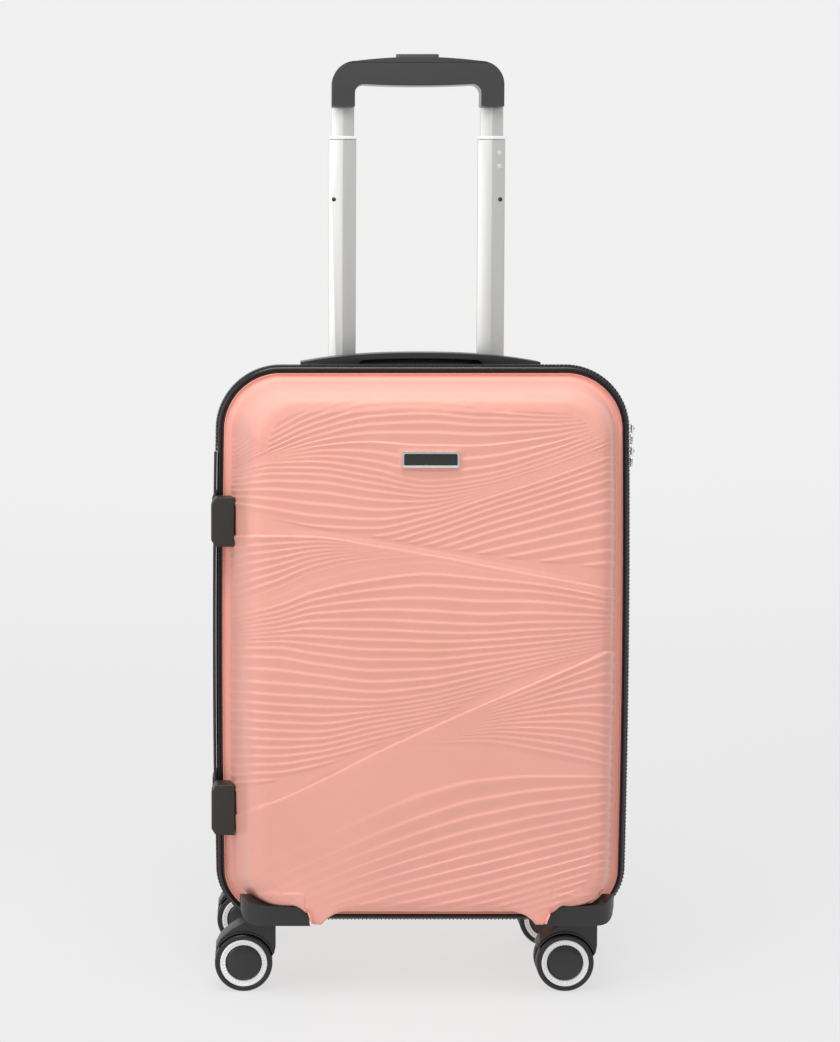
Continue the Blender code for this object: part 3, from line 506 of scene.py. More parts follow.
def smoothstep(low, high, value):
    """0 below low, 1 above high, and a smooth rise between them."""
    t = np.clip((value - low) / (high - low), 0, 1)
    return t * t * (3 - 2 * t)


def section_rows(section, step, flange=True, inset=0.0):
    """Rows (depth, side, top, bottom) down a shell, a step apart along its wall."""
    table = np.array(section)
    run = np.concatenate([[0], np.cumsum(np.hypot(np.diff(table[:, 0]), np.diff(table[:, 1])))])
    rows = hermite(np.linspace(0, run[-1], max(4, int(run[-1] / step))), run, table)
    if flange:
        rim = [(depth, *(share * amount for amount in section[0][1:])) for depth, share in FLANGE + BEAD]
        rows = np.concatenate([np.array(rim), rows[rows[:, 0] > BEAD[-1][0] + 0.0005]])
    rows[:, 1:] += inset
    return rows


def draw_tongues(flat, depth, bottom):
    """Pulls a row's lower edge down into the two tapered tongues that flank the housings."""
    lowest = EDGE_LOW + bottom
    if lowest <= TONGUE_LOW:
        return flat
    x, z = np.abs(flat[:, 0]), flat[:, 1]
    widen = 1 + 1.8 * smoothstep(0.0850, 0.0925, depth)
    middle = MIDDLE_DROP * smoothstep(0.0200, 0.0830, depth)
    slope_in = np.exp(-np.maximum(TONGUE[0] - x, 0) / (TONGUE_FILLET[0] * widen))
    inner = middle + (1 - middle) * slope_in
    outer = np.exp(-np.maximum(x - TONGUE[1], 0) / (TONGUE_FILLET[1] * widen))
    end = TONGUE_LOW + TONGUE_ROUND * smoothstep(0.0885, 0.0925, depth)
    on_edge = 1 - smoothstep(0.0005, 0.0060, z - lowest)
    share = np.where(x < TONGUE[0] - 0.03, 1.0, smoothstep(0.0440, 0.0470, depth))
    share = np.maximum(share, np.where(x < TONGUE[0], middle / inner, 0.0))
    made = flat.copy()
    made[:, 1] -= np.minimum(share, 1.0) * on_edge * inner * outer * (lowest - end)
    return made


def ring_points(row, facing, grid, tongues=False):
    """One ring of a tray's wall, from its row (depth, side, top, bottom)."""
    depth, side, top, bottom = row
    flat = ring(side, top, bottom, **steps_of(grid))
    if tongues:
        flat = draw_tongues(flat, depth, bottom)
    y = np.full(len(flat), facing * (EDGE_Y + depth))
    return np.stack([flat[:, 0], y, flat[:, 1]], 1)


def band_faces(near, far, total):
    """Quads between two rings of points, given the number of each ring's first point."""
    i = np.arange(total)
    j = (i + 1) % total
    return np.stack([near + i, near + j, far + j, far + i], 1)


def edge_ids(grid, total):
    """The grid's point numbers, filled in along its four sides from the last ring."""
    count_x, count_z = grid
    ids = np.zeros((count_x + 1, count_z + 1), int)
    i, j = np.arange(count_x + 1), np.arange(count_z + 1)
    ids[i, 0] = i
    ids[count_x, j] = count_x + j
    ids[count_x - i, count_z] = count_x + count_z + i
    ids[0, count_z - j] = (2 * count_x + count_z + j) % total
    return ids


def patch(low, high, left, right):
    """A grid of points that spans four edges, each edge given as an array."""
    s = np.linspace(0, 1, len(low))[:, None, None]
    t = np.linspace(0, 1, len(left))[None, :, None]
    fill = (1 - t) * low[:, None] + t * high[:, None] + (1 - s) * left[None] + s * right[None]
    return fill - (1 - s) * ((1 - t) * low[0] + t * high[0]) - s * ((1 - t) * low[-1] + t * high[-1])


def tray(rows, facing, grid, tongues=False):
    """Points and faces of an open tray: rings along the wall, then a grid across the face."""
    count_x, count_z = grid
    points = [ring_points(row, facing, grid, tongues) for row in rows]
    total = len(points[0])
    faces = [band_faces(row * total, (row + 1) * total, total) for row in range(len(rows) - 1)]
    edge = ring_points(rows[-1], facing, grid)
    ids = edge_ids(grid, total)
    fill = patch(edge[ids[:, 0]], edge[ids[:, -1]], edge[ids[0]], edge[ids[-1]])
    if tongues:
        drop = (points[-1] - edge)[ids[:, 0], 2][:, None]
        fill[:, :, 2] += drop * (1 - smoothstep(0.0, 0.07, np.linspace(0, 1, count_z + 1)[None]))
    base = (len(rows) - 1) * total
    inner = (count_x - 1) * (count_z - 1)
    ids += base
    ids[1:-1, 1:-1] = base + total + np.arange(inner).reshape(count_x - 1, count_z - 1)
    points.append(fill[1:-1, 1:-1].reshape(-1, 3))
    faces.append(np.stack([ids[:-1, :-1], ids[1:, :-1], ids[1:, 1:], ids[:-1, 1:]], -1).reshape(-1, 4))
    return np.concatenate(points), np.concatenate(faces), total


def outward(normal, points, facing):
    """Normals turned to point away from the middle of the seam."""
    middle = np.array([0.0, facing * EDGE_Y, SHELL_MIDDLE_Z])
    return -normal if ((points - middle) * normal).sum() < 0 else normal


# The shells' ridges, in three zones from the top down. Each zone has guide lines: a ridge
# number, then the line's height in mm at STATIONS. The ridges between two guides are spread evenly. A
# zone's edge is the line where it meets the next one, and its end the line where its ridges run out.

STATIONS = (-167, -132, -97, -50, -3, 44, 91, 150)
UPPER_GUIDES = (
    (-4, (511, 541, 560, 569, 560, 551, 537, 518)),
    (8, (459, 474, 487, 497, 499, 496, 496, 500)),
    (13, (456, 464, 465, 459, 449, 454, 467, 489)),
    (16, (446, 449, 448, 441, 436, 443, 456, 477)),
    (20, (424, 417, 411, 409, 418, 433, 448, 469)),
    (31, (330, 334, 337, 344, 351, 358, 364, 371)),
)
UPPER_END = (422, 415, 407, 400, 392, 385, 379, 373)
UPPER_EDGE = (402, 402, 401, 394, 386, 377, 368, 357)
MIDDLE_GUIDES = (
    (0, UPPER_EDGE),
    (7, (346, 357, 372, 382, 385, 376, 367, 356)),
    (9, (334, 342, 355, 365, 370, 366, 361, 350)),
    (13, (320, 324, 330, 331, 329, 327, 329, 329)),
    (17, (307, 307, 302, 297, 297, 301, 306, 314)),
    (21, (270, 267, 265, 262, 267, 278, 290, 304)),
    (25, (239, 236, 235, 243, 251, 262, 275, 297)),
    (30, (199, 200, 206, 218, 231, 243, 258, 276)),
    (35, (166, 168, 175, 187, 200, 213, 228, 248)),
)
MIDDLE_END = (182, 191, 201, 220, 239, 265, 285, 304)
LOWER_EDGE = (163, 174, 190, 214, 236, 257, 277, 303)
LOWER_GUIDES = (
    (0, LOWER_EDGE),
    (12, (161, 172, 188, 213, 222, 220, 212, 201)),
    (13, (114, 126, 141, 164, 183, 194, 197, 196)),
    (22, (37, 44, 58, 72, 83, 94, 107, 124)),
    (28, (10, 15, 25, 38, 48, 58, 70, 88)),
)
# A ridge's height, the share of its pitch that its steep flank takes, the step at the zones' edges,
# the step over the housings, and how far the pattern falls for each metre back from the face.
RIDGE_HEIGHT = 0.00095
FLANK = 0.17
EDGE_STEP = 0.0008
PAD_STEP = 0.0008
RIDGE_FALL = 0.54


def ridge_wave(x, z, guides):
    """Height of a zone's ridges, 0 to RIDGE_HEIGHT, and the ridge number, at points in mm."""
    numbers = np.array([n for n, _ in guides], float)
    lines = np.stack([hermite(x, STATIONS, heights) for _, heights in guides])
    lines = np.minimum.accumulate(lines - 0.02 * np.arange(len(guides))[:, None], axis=0)
    span = np.maximum(lines[:-1] - lines[1:], 0.02)
    rate = np.diff(numbers)[:, None] / span
    mean = 2 * rate[:-1] * rate[1:] / (rate[:-1] + rate[1:])
    tangent = np.concatenate([rate[:1], mean, rate[-1:]])
    k = np.clip((lines > z).sum(0) - 1, 0, len(guides) - 2)
    here = np.arange(len(x))
    run = span[k, here]
    t = np.clip((lines[k, here] - z) / run, 0, 1)
    number = between(t, run, numbers[k], numbers[k + 1], tangent[k, here], tangent[k + 1, here])
    pitch = 1 / np.maximum(rate[k, here], 1e-3)
    share = number - np.floor(number)
    fall = (1 - smoothstep(0.02, 1.0, share)) / (1 - smoothstep(0.02, 1.0, FLANK))
    tooth = np.where(share < FLANK, smoothstep(0, FLANK, share), fall)
    return np.minimum(RIDGE_HEIGHT, 0.00016 * pitch) * np.clip(tooth, 0, 1), number


def zone_ridges(x, z, upper_edge, lower_edge):
    """Ridge height over the three zones. Each zone keeps a plain stripe or runs out into a plain end."""
    upper_end, middle_end = hermite(x, STATIONS, UPPER_END), hermite(x, STATIONS, MIDDLE_END)
    upper, _ = ridge_wave(x, z, UPPER_GUIDES)
    upper *= smoothstep(upper_end, upper_end + 2.5, z)
    middle, number = ridge_wave(x, z, MIDDLE_GUIDES)
    plain = smoothstep(6.6, 7.4, number) * (1 - smoothstep(8.6, 9.2, number))
    middle *= (1 - 0.85 * plain) * smoothstep(middle_end, middle_end + 2.5, z)
    middle *= 1 - smoothstep(upper_edge - 0.5, upper_edge + 0.1, z)
    lower, number = ridge_wave(x, z, LOWER_GUIDES)
    plain = smoothstep(11.7, 12.1, number) * (1 - smoothstep(12.7, 13.1, number))
    to_left = np.where(number > 12.4, 0.12 + 0.88 * smoothstep(-95, 25, x), 1.0)
    lower *= (1 - 0.9 * plain) * to_left * (1 - smoothstep(lower_edge - 0.5, lower_edge + 0.1, z))
    lower *= smoothstep(70, 88, z)
    return np.where(z > upper_edge, upper, np.where(z > lower_edge, middle, lower))


def plain_border(x, z, depth):
    """1 where the shell is plain: over the top, lower at its corners, and next to the flange."""
    border = 521.5 - 30 * smoothstep(95, 165, np.abs(x))
    soft = 8 + 22 * smoothstep(60, 115, np.abs(x))
    top = smoothstep(border - soft, border + 3.0, z)
    return np.maximum(top, 1 - smoothstep(0.0070, 0.0105, depth))


def badge_seat(x, z):
    """1 on the flat that the badge sits on, at points in metres."""
    centre, half = span_of("badge_frame")
    away_x = np.maximum(np.abs(x - centre.x) - half.x, 0)
    away_z = np.maximum(np.abs(z - centre.z) - half.z, 0)
    return 1 - smoothstep(0.0008, 0.0030, np.hypot(away_x, away_z))


def relief(points, badge):
    """How far each point of a shell's skin stands in from its outermost surface, in metres, as <= 0."""
    out = np.abs(points[:, 1])
    depth = out - EDGE_Y
    x, z = points[:, 0] * 1000, points[:, 2] * 1000
    z = z + RIDGE_FALL * (out.max() - out) * (650 - z)
    inside = np.clip(x, STATIONS[0], STATIONS[-1])
    upper_edge, lower_edge = hermite(inside, STATIONS, UPPER_EDGE), hermite(inside, STATIONS, LOWER_EDGE)
    height = zone_ridges(inside, z, upper_edge, lower_edge)

    for edge, length in ((upper_edge, 14.0), (lower_edge, 18.0)):
        below = edge - z
        height += EDGE_STEP * smoothstep(-0.3, 1.0, below) * np.exp(-np.maximum(below, 0) / length)
        above = np.maximum(-below, 0)
        height -= 0.5 * EDGE_STEP * np.exp(-above / 9.0) * (below < 0)

    plain = plain_border(x, z, depth)
    height = height * (1 - plain) + 0.5 * RIDGE_HEIGHT * plain
    over_housing = smoothstep(105.5, 106.5, np.abs(x)) * (1 - smoothstep(142, 154, np.abs(x)))
    height += PAD_STEP * over_housing * smoothstep(-94.6, -93.8, -z) * smoothstep(0.012, 0.020, depth)
    if badge:
        flat = badge_seat(x / 1000, z / 1000)
        height = height * (1 - flat) + RIDGE_HEIGHT * flat
    return height - RIDGE_HEIGHT - EDGE_STEP


def ridged_points(section, facing, badge):
    """The outer skin's points and faces, with the ridges pressed in."""
    points, faces, total = tray(section_rows(section, ROW_STEP), facing, SKIN_GRID, tongues=True)
    smooth = bpy.data.meshes.new("skin")
    smooth.from_pydata(points.tolist(), [], faces.tolist())
    normal = np.zeros(len(points) * 3)
    smooth.vertices.foreach_get("normal", normal)
    normal = outward(normal.reshape(-1, 3), points, facing)
    pattern = points.copy()
    pattern[:, 0] *= -facing
    hold = smoothstep(0.0045, 0.0100, np.abs(points[:, 1]) - EDGE_Y)
    return points + normal * (relief(pattern, badge) * hold)[:, None], faces, total


def inner_rows(section):
    """Rows of the plain inner skin, which keeps the wall's thickness behind the face."""
    rows = section_rows(section, 0.012, flange=False, inset=SHELL_WALL)
    foot = [amount + SHELL_WALL for amount in section[0][1:]]
    rows = np.concatenate([[(0.0, *foot), (0.0040, *foot)], rows])
    rows[2:, 0] *= (rows[-1, 0] - SHELL_WALL) / rows[-1, 0]
    return rows


def shell_skin(section, facing, badge):
    """One moulded shell: a dense ridged outer skin, and a plain inner one that closes it."""
    points, faces, total = ridged_points(section, facing, badge)
    rings = [ring_points(row, facing, SKIN_GRID) for row in inner_rows(section)]
    starts = [len(points) + row * total for row in range(len(rings))]
    walls = [band_faces(near, far, total) for near, far in zip([0] + starts, starts)]
    floor = list(range(starts[-1], starts[-1] + total))
    quads = np.concatenate([faces, *walls]).tolist() + [floor]
    return smoothed(mesh_of("shell", np.concatenate([points, *rings]), quads, smooth=False), 50)


def build_shells():
    front = shell_skin(FRONT_SECTION, -1, True)
    piece("front_shell_ridged", front, "front_half", "pink_shell", PINK, replaces=("front_shell",))

    centre, half = span_of("trolley_cup")
    opening = rounded_outline(half.x + GAP, half.y + GAP, 0.010)
    hole = plate([opening], 0.05, Matrix.Translation((centre.x, centre.y, centre.z + half.z)))
    rear = cut(shell_skin(REAR_SECTION, 1, False), hole, 50)
    piece("rear_shell_ridged", rear, "rear_half", "pink_shell", PINK, replaces=("rear_shell",))


# Seam: piping, zip and hinge band

BAND_LOW, BAND_HIGH = (corner.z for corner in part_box("hinge_band"))
HINGE_SIDE_X = -0.15
TAPE_IN = -0.0042
TOOTH_PITCH = 0.0034
TOOTH_SIZE = (0.0019, 0.0012, 0.0034)
TEETH_OUT = 0.0066


def swept(profile, zip_only=False):
    """A closed profile of (out, y) points carried round the seam, or only round its zip."""
    loops = [ring(-out, arc_points=14, across=60, up=90) for out, _ in profile]
    keep = np.arange(len(loops[0]))
    if zip_only:
        x, z = loops[0].T
        gone = (x < HINGE_SIDE_X) & (z > BAND_LOW - 0.003) & (z < BAND_HIGH + 0.003)
        keep = np.roll(keep, -(int(np.nonzero(gone)[0][-1]) + 1))
        keep = keep[~gone[keep]]
    count, rows = len(keep), len(profile)
    layers = []
    for loop, (_, y) in zip(loops, profile):
        layers.append(np.stack([loop[keep, 0], np.full(count, y), loop[keep, 1]], 1))
    faces = []
    for j in range(rows):
        around = band_faces(j * count, (j + 1) % rows * count, count)
        faces += around[: count - 1 if zip_only else count].tolist()
    if zip_only:
        faces.append([j * count for j in range(rows)])
        faces.append([j * count + count - 1 for j in range(rows)][::-1])
    return mesh_of("swept", np.concatenate(layers), faces)


def tooth_mesh():
    """One tooth, a little wider at its root."""
    bm = bmesh.new()
    bmesh.ops.create_cube(bm, size=1.0)
    bmesh.ops.scale(bm, vec=TOOTH_SIZE, verts=bm.verts)
    for vert in bm.verts:
        if vert.co.z > 0:
            vert.co.y *= 1.25
    bmesh.ops.bevel(bm, geom=bm.edges, offset=0.0003, segments=1, affect="EDGES")
    return from_bmesh("tooth", bm)


def zip_teeth(facing):
    """Teeth along one tape: every other place round the seam, the other tape's teeth between them."""
    line = ring(-TEETH_OUT, arc_points=30, across=120, up=180)
    closed = np.concatenate([line, line[:1]])
    run = np.concatenate([[0], np.cumsum(np.hypot(*np.diff(closed, axis=0).T))])
    at = np.arange(TOOTH_PITCH * (0.25 if facing < 0 else 0.75), run[-1], TOOTH_PITCH)
    here, ahead = (np.stack([np.interp(p, run, axis) for axis in closed.T], 1) for p in (at, at + 0.0008))
    template = tooth_mesh()
    corners = np.array([v.co[:] for v in template.vertices])
    shapes = [list(p.vertices) for p in template.polygons]
    verts, faces = [], []
    for (px, pz), (ax, az) in zip(here, ahead):
        if px < HINGE_SIDE_X and BAND_LOW - 0.002 < pz < BAND_HIGH + 0.002:
            continue
        along = np.array([ax - px, 0.0, az - pz])
        along /= np.linalg.norm(along)
        outward_way = np.array([along[2], 0.0, -along[0]])
        middle = np.array([px, facing * 0.0010, pz])
        start = len(verts)
        for u, v, w in corners:
            verts.append(middle + outward_way * u + along * v - np.array([0.0, facing * w, 0.0]))
        faces += [[start + i for i in shape] for shape in shapes]
    return mesh_of("teeth", verts, faces, smooth=False)


def cord_profile(facing):
    """Piping: a round cord on a flat tape that is sewn in behind the shell's edge."""
    middle, radius, cord = 0.00405, 0.0020, 0.0036
    points = [(TAPE_IN, middle - 0.0007), (TAPE_IN, middle + 0.0007)]
    turn = np.radians(np.arange(155, -156, -22))
    points += [(cord + radius * math.cos(a), middle + radius * math.sin(a)) for a in turn]
    return [(out, facing * y) for out, y in points]


def tape_profile(facing):
    """The zip's tape, with a thin outer edge."""
    near, far, out = 0.00020, 0.00165, 0.0064
    points = [(TAPE_IN, near), (TAPE_IN, far), (out - 0.0006, far), (out, far - 0.0003), (out, near)]
    return [(out, facing * y) for out, y in points]


def build_seam():
    for half, facing in (("front", -1), ("rear", 1)):
        body, name = f"{half}_half", f"{half}_piping"
        piece(name, swept(cord_profile(facing)), body, "black_trim", PIPING, replaces=(f"{half}_rim_trim",))
        tape = swept(tape_profile(facing), zip_only=True)
        tape = piece(f"{half}_zip_fabric", tape, body, "zip_tape", TAPE, replaces=(f"{half}_zip_tape",))
        teeth = piece(f"{half}_zip_teeth", zip_teeth(facing), body, "zip_tape", TEETH)
    build_hinge_band()


def slab_faces(rows, columns):
    """Faces of a sheet of two layers, each (rows + 1) x (columns + 1) points, closed at its edges."""
    wide = columns + 1
    layer = (rows + 1) * wide
    faces = []
    for row in range(rows):
        for column in range(columns):
            a = row * wide + column
            quad = (a, a + 1, a + wide + 1, a + wide)
            faces += [quad, tuple(layer + i for i in reversed(quad))]
    edge = list(range(wide)) + [row * wide + columns for row in range(1, rows + 1)]
    edge += [rows * wide + column for column in range(columns - 1, -1, -1)]
    edge += [row * wide for row in range(rows - 1, 0, -1)]
    return faces + [(a, b, layer + b, layer + a) for a, b in zip(edge, edge[1:] + edge[:1])]


def build_hinge_band():
    """The fabric band down the left side, curved over both pipings."""
    low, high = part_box("hinge_band")
    thick, half, rows, columns = 0.0012, 0.0090, 90, 16
    outer = HALF_WIDTH + 0.0086
    middle, reach = (EDGE_LOW + EDGE_HIGH) / 2, (EDGE_HIGH - EDGE_LOW) / 2 + 0.0076
    verts = []
    for layer in (0.0, thick):
        for z in np.linspace(low.z, high.z, rows + 1):
            bulge = 1 + BULGE / HALF_WIDTH * (1 - ((z - middle) / reach) ** 2)
            for share in np.linspace(-1, 1, columns + 1):
                dip = 0.0013 * abs(share) ** 3 + 0.0004 * math.exp(-((share / 0.2) ** 2))
                verts.append((-(outer - layer - dip) * bulge, share * half, z))
    band = mesh_of("hinge_band", verts, slab_faces(rows, columns))
    band = piece("hinge_fabric", band, None, "zip_tape", TAPE, replaces=("hinge_band",))
    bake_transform(band)


# Casters

WHEEL_STEPS = 240
RING_IN = 0.0157
RING_OUT = 0.0205
KNURL_OUT = 0.0186
AXLE_RADIUS = 0.0034
FENDER_RADIUS = 0.0262


def serrated(radius, step):
    """The ring's knurl: every other three steps stand proud on its inner part."""
    return 0.00060 if RING_IN + 0.0001 < radius < KNURL_OUT and step % 6 < 3 else 0.0


def wheel_meshes(hub, way, near, far, radius):
    """A wheel's tyre, serrated ring and cap: (radius, distance from the fork's middle) turned round."""
    floor = far - 0.0045
    inset, shoulder, heel = RING_IN - 0.0003, 0.0021, 0.0018
    cap = [(0.0, far - 0.0002), (0.0060, far - 0.0003), (0.0110, far - 0.0008), (0.0140, far - 0.0016)]
    cap += [(inset, far - 0.0026), (inset, floor), (0.0, floor)]
    band = [(RING_IN, floor), (RING_IN, far - 0.0021), (RING_IN + 0.0003, far - 0.0013)]
    band += [(0.0185, far - 0.0011), (0.0188, far - 0.0004), (0.0198, far - 0.0003), (0.0203, far - 0.0006)]
    band += [(RING_OUT, far - 0.0012), (RING_OUT, floor), (RING_IN, floor)]
    seat = RING_OUT + 0.0001
    tyre = [(seat, floor), (seat, far - 0.0014), (0.0215, far - 0.0006), (0.0229, far - 0.0002)]
    tyre += arc(radius - shoulder, far - 0.0002 - shoulder, shoulder, 80, 0, 6)
    tyre += arc(radius - heel, near + heel, heel, 0, -90, 5)
    tyre += [(0.0120, near), (0.0112, near + 0.0006), (0.0060, near + 0.0006), (0.0054, near)]
    tyre += [(AXLE_RADIUS, near), (AXLE_RADIUS, floor - 0.0005)]
    tyre += [(RING_OUT - 0.0010, floor - 0.0005), (seat, floor)]
    axis = (0, way, 0)
    return [
        (0, turned(tyre, WHEEL_STEPS, axis, hub)),
        (1, turned(band, WHEEL_STEPS, axis, hub, serrated)),
        (2, turned(cap, WHEEL_STEPS // 4, axis, hub)),
    ]


def fork_mesh(name):
    """A fork: a web between the wheels, a fender over them and a block that rises to the swivel."""
    centre, half = span_of(f"{name}_fork")
    hub = span_of(f"{name}_wheel_outer")[0]
    y = centre.y
    right = centre.x + half.x - hub.x
    top = 0.0628 - hub.z
    place = facing_front(y, hub.x, hub.z)

    web = arc(0, 0, FENDER_RADIUS, 150, 24, 24) + [(right, 0.0110), (right - 0.0015, 0.0070)]
    web += [(right - 0.0075, -0.0005), (0.0130, -0.0085)] + arc(0, 0, 0.0100, -45, -150, 12)
    hood = [(-0.0231, 0.0122), (-0.0223, 0.0170), (-0.0198, 0.0212), (-0.0165, 0.0243), (-0.0135, 0.0268)]
    hood += [(-0.0100, 0.0296), (-0.0040, 0.0330), (0.0020, 0.0360), (0.0070, top)]
    hood += arc(right - 0.0022, top - 0.0022, 0.0022, 90, 0, 5)
    hood += [(right, 0.0150), (right - 0.0012, 0.0085), (right - 0.0040, 0.0045)]
    hood += arc(0, 0, FENDER_RADIUS - 0.0001, 16, 151, 26)
    lip = arc(0, 0, FENDER_RADIUS + 0.0012, 20, 152, 26) + arc(0, 0, FENDER_RADIUS, 152, 20, 26)

    plates = ((web, 0.0033, 0.0006, 2), (hood, 0.0100, 0.0022, 4), (lip, 0.0112, 0.0004, 2))
    parts = [rounded(plate([outline], thick, place), *edge) for outline, thick, *edge in plates]
    parts.append(rod((hub.x, y - 0.0108, hub.z), (hub.x, y + 0.0108, hub.z), 0.0029))
    swivel_x = hub.x + 0.019
    for end, radius in ((0.0676, 0.0049), (0.0641, 0.0088)):
        parts.append(rod((swivel_x, y, 0.0600), (swivel_x, y, end), radius))
    return joined("fork", [(0, part) for part in parts])


def screw_mesh(place):
    """A small pan head screw under a housing, with a cross in it."""
    profile = [(0.0, -0.0009), (0.0015, -0.0008), (0.0022, -0.0003), (0.0023, 0.0), (0.0, 0.0)]
    head = turned(profile, 24, (0, 0, 1), place)
    for turn in (20, 110):
        bar = box_mesh((-0.0014, -0.0003, -0.0020), (0.0014, 0.0003, -0.0006))
        bar.transform(Matrix.Translation(place) @ Matrix.Rotation(math.radians(turn), 4, "Z"))
        head = cut(head, bar)
    return head


def build_wheels(name, facing):
    """The caster's two wheels on one axle; the outer one is towards the case's face."""
    y = span_of(f"{name}_fork")[0].y
    for which, way in (("outer", facing), ("inner", -facing)):
        node = f"{name}_wheel_{which}"
        centre, half = span_of(node)
        off = abs(centre.y - y)
        parts = wheel_meshes((centre.x, y, centre.z), way, off - half.y, off + half.y, half.z)
        piece(f"{node}_detailed", joined("wheel", parts), node, "wheel", TYRE, RING, CAP, replaces=(node,))


def build_casters():
    for depth, facing in (("front", -1), ("rear", 1)):
        for word in ("left", "right"):
            name, housing = f"caster_{depth}_{word}", f"wheel_housing_{depth}_{word}"
            kept(housing, MOULDING, 0.0010, 3)
            centre, half = span_of(f"{name}_fork")
            swivel_x = centre.x + half.x - 0.0088
            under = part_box(housing)[0].z - 0.0001
            screws = [
                (0, screw_mesh((swivel_x + dx, centre.y + dy, under)))
                for dy in (-0.0160, 0.0160) for dx in (-0.0150, 0.0110)
            ]
            piece(f"{housing}_screws", joined("screws", screws), f"{depth}_half", "chrome", CHROME)
            fork = f"{name}_fork"
            piece(f"{fork}_shaped", fork_mesh(name), name, "black_moulding", MOULDING, replaces=(fork,))
            build_wheels(name, facing)


# Pull handle


RIDGE_SIDE = 0.36


def tube_outline(half, ridge):
    """A tube's section: six sides, with a ridge along the middle of its front and back."""
    side = RIDGE_SIDE * ridge
    return [(-half, -side), (0, -ridge), (half, -side), (half, side), (0, ridge), (-half, side)]


def lock_pin(node, body, centre, half, x, z):
    """The dark spring pin that fills a tube's lock hole, just behind the tube's facet."""
    aside = x - centre.x
    face = centre.y - half.y * (1 - (1 - RIDGE_SIDE) * abs(aside) / half.x) + 0.0003
    profile = [(0.0, 0.0), (0.0013, 0.0), (0.0016, -0.0002), (0.0016, -0.0006), (0.0, -0.0006)]
    pin = turned(profile, 24, (0, -1, 0), (x + math.copysign(0.0003, aside), face, z))
    piece(f"{node}_pin", pin, body, "black_moulding", CAP)


def tube_piece(node, body, holes=()):
    """A six-sided tube, with its lock holes given as (x, z)."""
    centre, half = span_of(node)
    wall = 0.0010
    outlines = [tube_outline(half.x, half.y), tube_outline(half.x - wall, half.y - wall)]
    mesh = rounded(plate(outlines, half.z, Matrix.Translation(centre)), 0.00045, 3, 25)
    for x, z in holes:
        mesh = cut(mesh, rod((x, centre.y - 0.02, z), (x, centre.y - 0.0005, z), 0.0022, 24))
        lock_pin(node, body, centre, half, x, z)
    piece(f"{node}_facetted", mesh, body, "tube", TUBE, replaces=(node,))


def build_rivets():
    """Two pale dots on the outer facet of the right middle tube."""
    centre, half = span_of("middle_tube_right")
    slope = math.atan2(half.y * (1 - RIDGE_SIDE), half.x)
    aside = 0.0072
    place = (centre.x + aside, centre.y - half.y + aside * math.tan(slope))
    profile = [(0.0, 0.00028), (0.0019, 0.00028), (0.0023, 0.00016), (0.0023, -0.0002), (0.0, -0.0002)]
    axis = (math.sin(slope), -math.cos(slope), 0)
    heights = [centre.z + half.z - down for down in (0.0123, 0.0245)]
    dots = [(0, turned(profile, 28, axis, (*place, z))) for z in heights]
    piece("middle_tube_right_rivets", joined("rivets", dots), "trolley_middle", "collar", DOT)


def build_tubes():
    for word, side in (("left", -1), ("right", 1)):
        centre, half = span_of(f"middle_tube_{word}")
        hole = (centre.x + side * 0.0078, centre.z + half.z - 0.0545)
        tube_piece(f"middle_tube_{word}", "trolley_middle", [hole])
        tube_piece(f"inner_tube_{word}", "trolley_inner")
        kept(f"outer_tube_{word}", TUBE, 0.0003)
        build_collar(word)
    build_rivets()


def build_collar(word):
    """The white collar on top of a middle tube, which the inner tube slides through."""
    node = f"tube_collar_{word}"
    centre, half = span_of(node)
    inner = span_of(f"inner_tube_{word}")[1]
    outlines = [tube_outline(half.x, half.y), tube_outline(inner.x + 0.0004, inner.y + 0.0004)]
    mesh = rounded(plate(outlines, half.z, Matrix.Translation(centre)), 0.0005, 3, 25)
    piece(f"{node}_shaped", mesh, "trolley_middle", "collar", COLLAR, replaces=(node,))


def mirrored(points):
    """The other half of an outline that is the same on both sides, in the order that closes it."""
    return [(-x, z) for x, z in reversed(points)]


def grip_outline(low, out, cover_high):
    """The pull handle's grip from the front: arched top, round outer corners, filleted legs."""
    leg, corner, fillet = out - 0.0210, 0.0215, 0.0080
    under, arch_rise, under_rise = 0.7925, 0.0036, 0.0014
    top, reach, room = cover_high - arch_rise, out - corner, leg - fillet
    right = [(out, low)] + arc(reach, top - corner, corner, 0, 90, 16)
    arch = [(x, cover_high - arch_rise * (x / reach) ** 2) for x in np.linspace(reach, -reach, 15)[1:-1]]
    inner = [(-leg, low)] + arc(-room, under - fillet, fillet, 180, 90, 8)
    belly = [(x, under - under_rise * (1 - (x / room) ** 2)) for x in np.linspace(-room, room, 11)[1:-1]]
    return right + arch + mirrored(right) + inner + belly + mirrored(inner)


def halved(mesh, z, above):
    """The part of a closed mesh above or below a height, closed again."""
    bm = bmesh.new()
    bm.from_mesh(mesh)
    sides = {"clear_outer": not above, "clear_inner": above}
    geometry = bm.verts[:] + bm.edges[:] + bm.faces[:]
    made = bmesh.ops.bisect_plane(bm, geom=geometry, plane_co=(0, 0, z), plane_no=(0, 0, 1), **sides)
    edges = [item for item in made["geom_cut"] if isinstance(item, bmesh.types.BMEdge)]
    bmesh.ops.contextual_create(bm, geom=edges)
    bmesh.ops.recalc_face_normals(bm, faces=bm.faces)
    return smoothed(from_bmesh("half", bm))


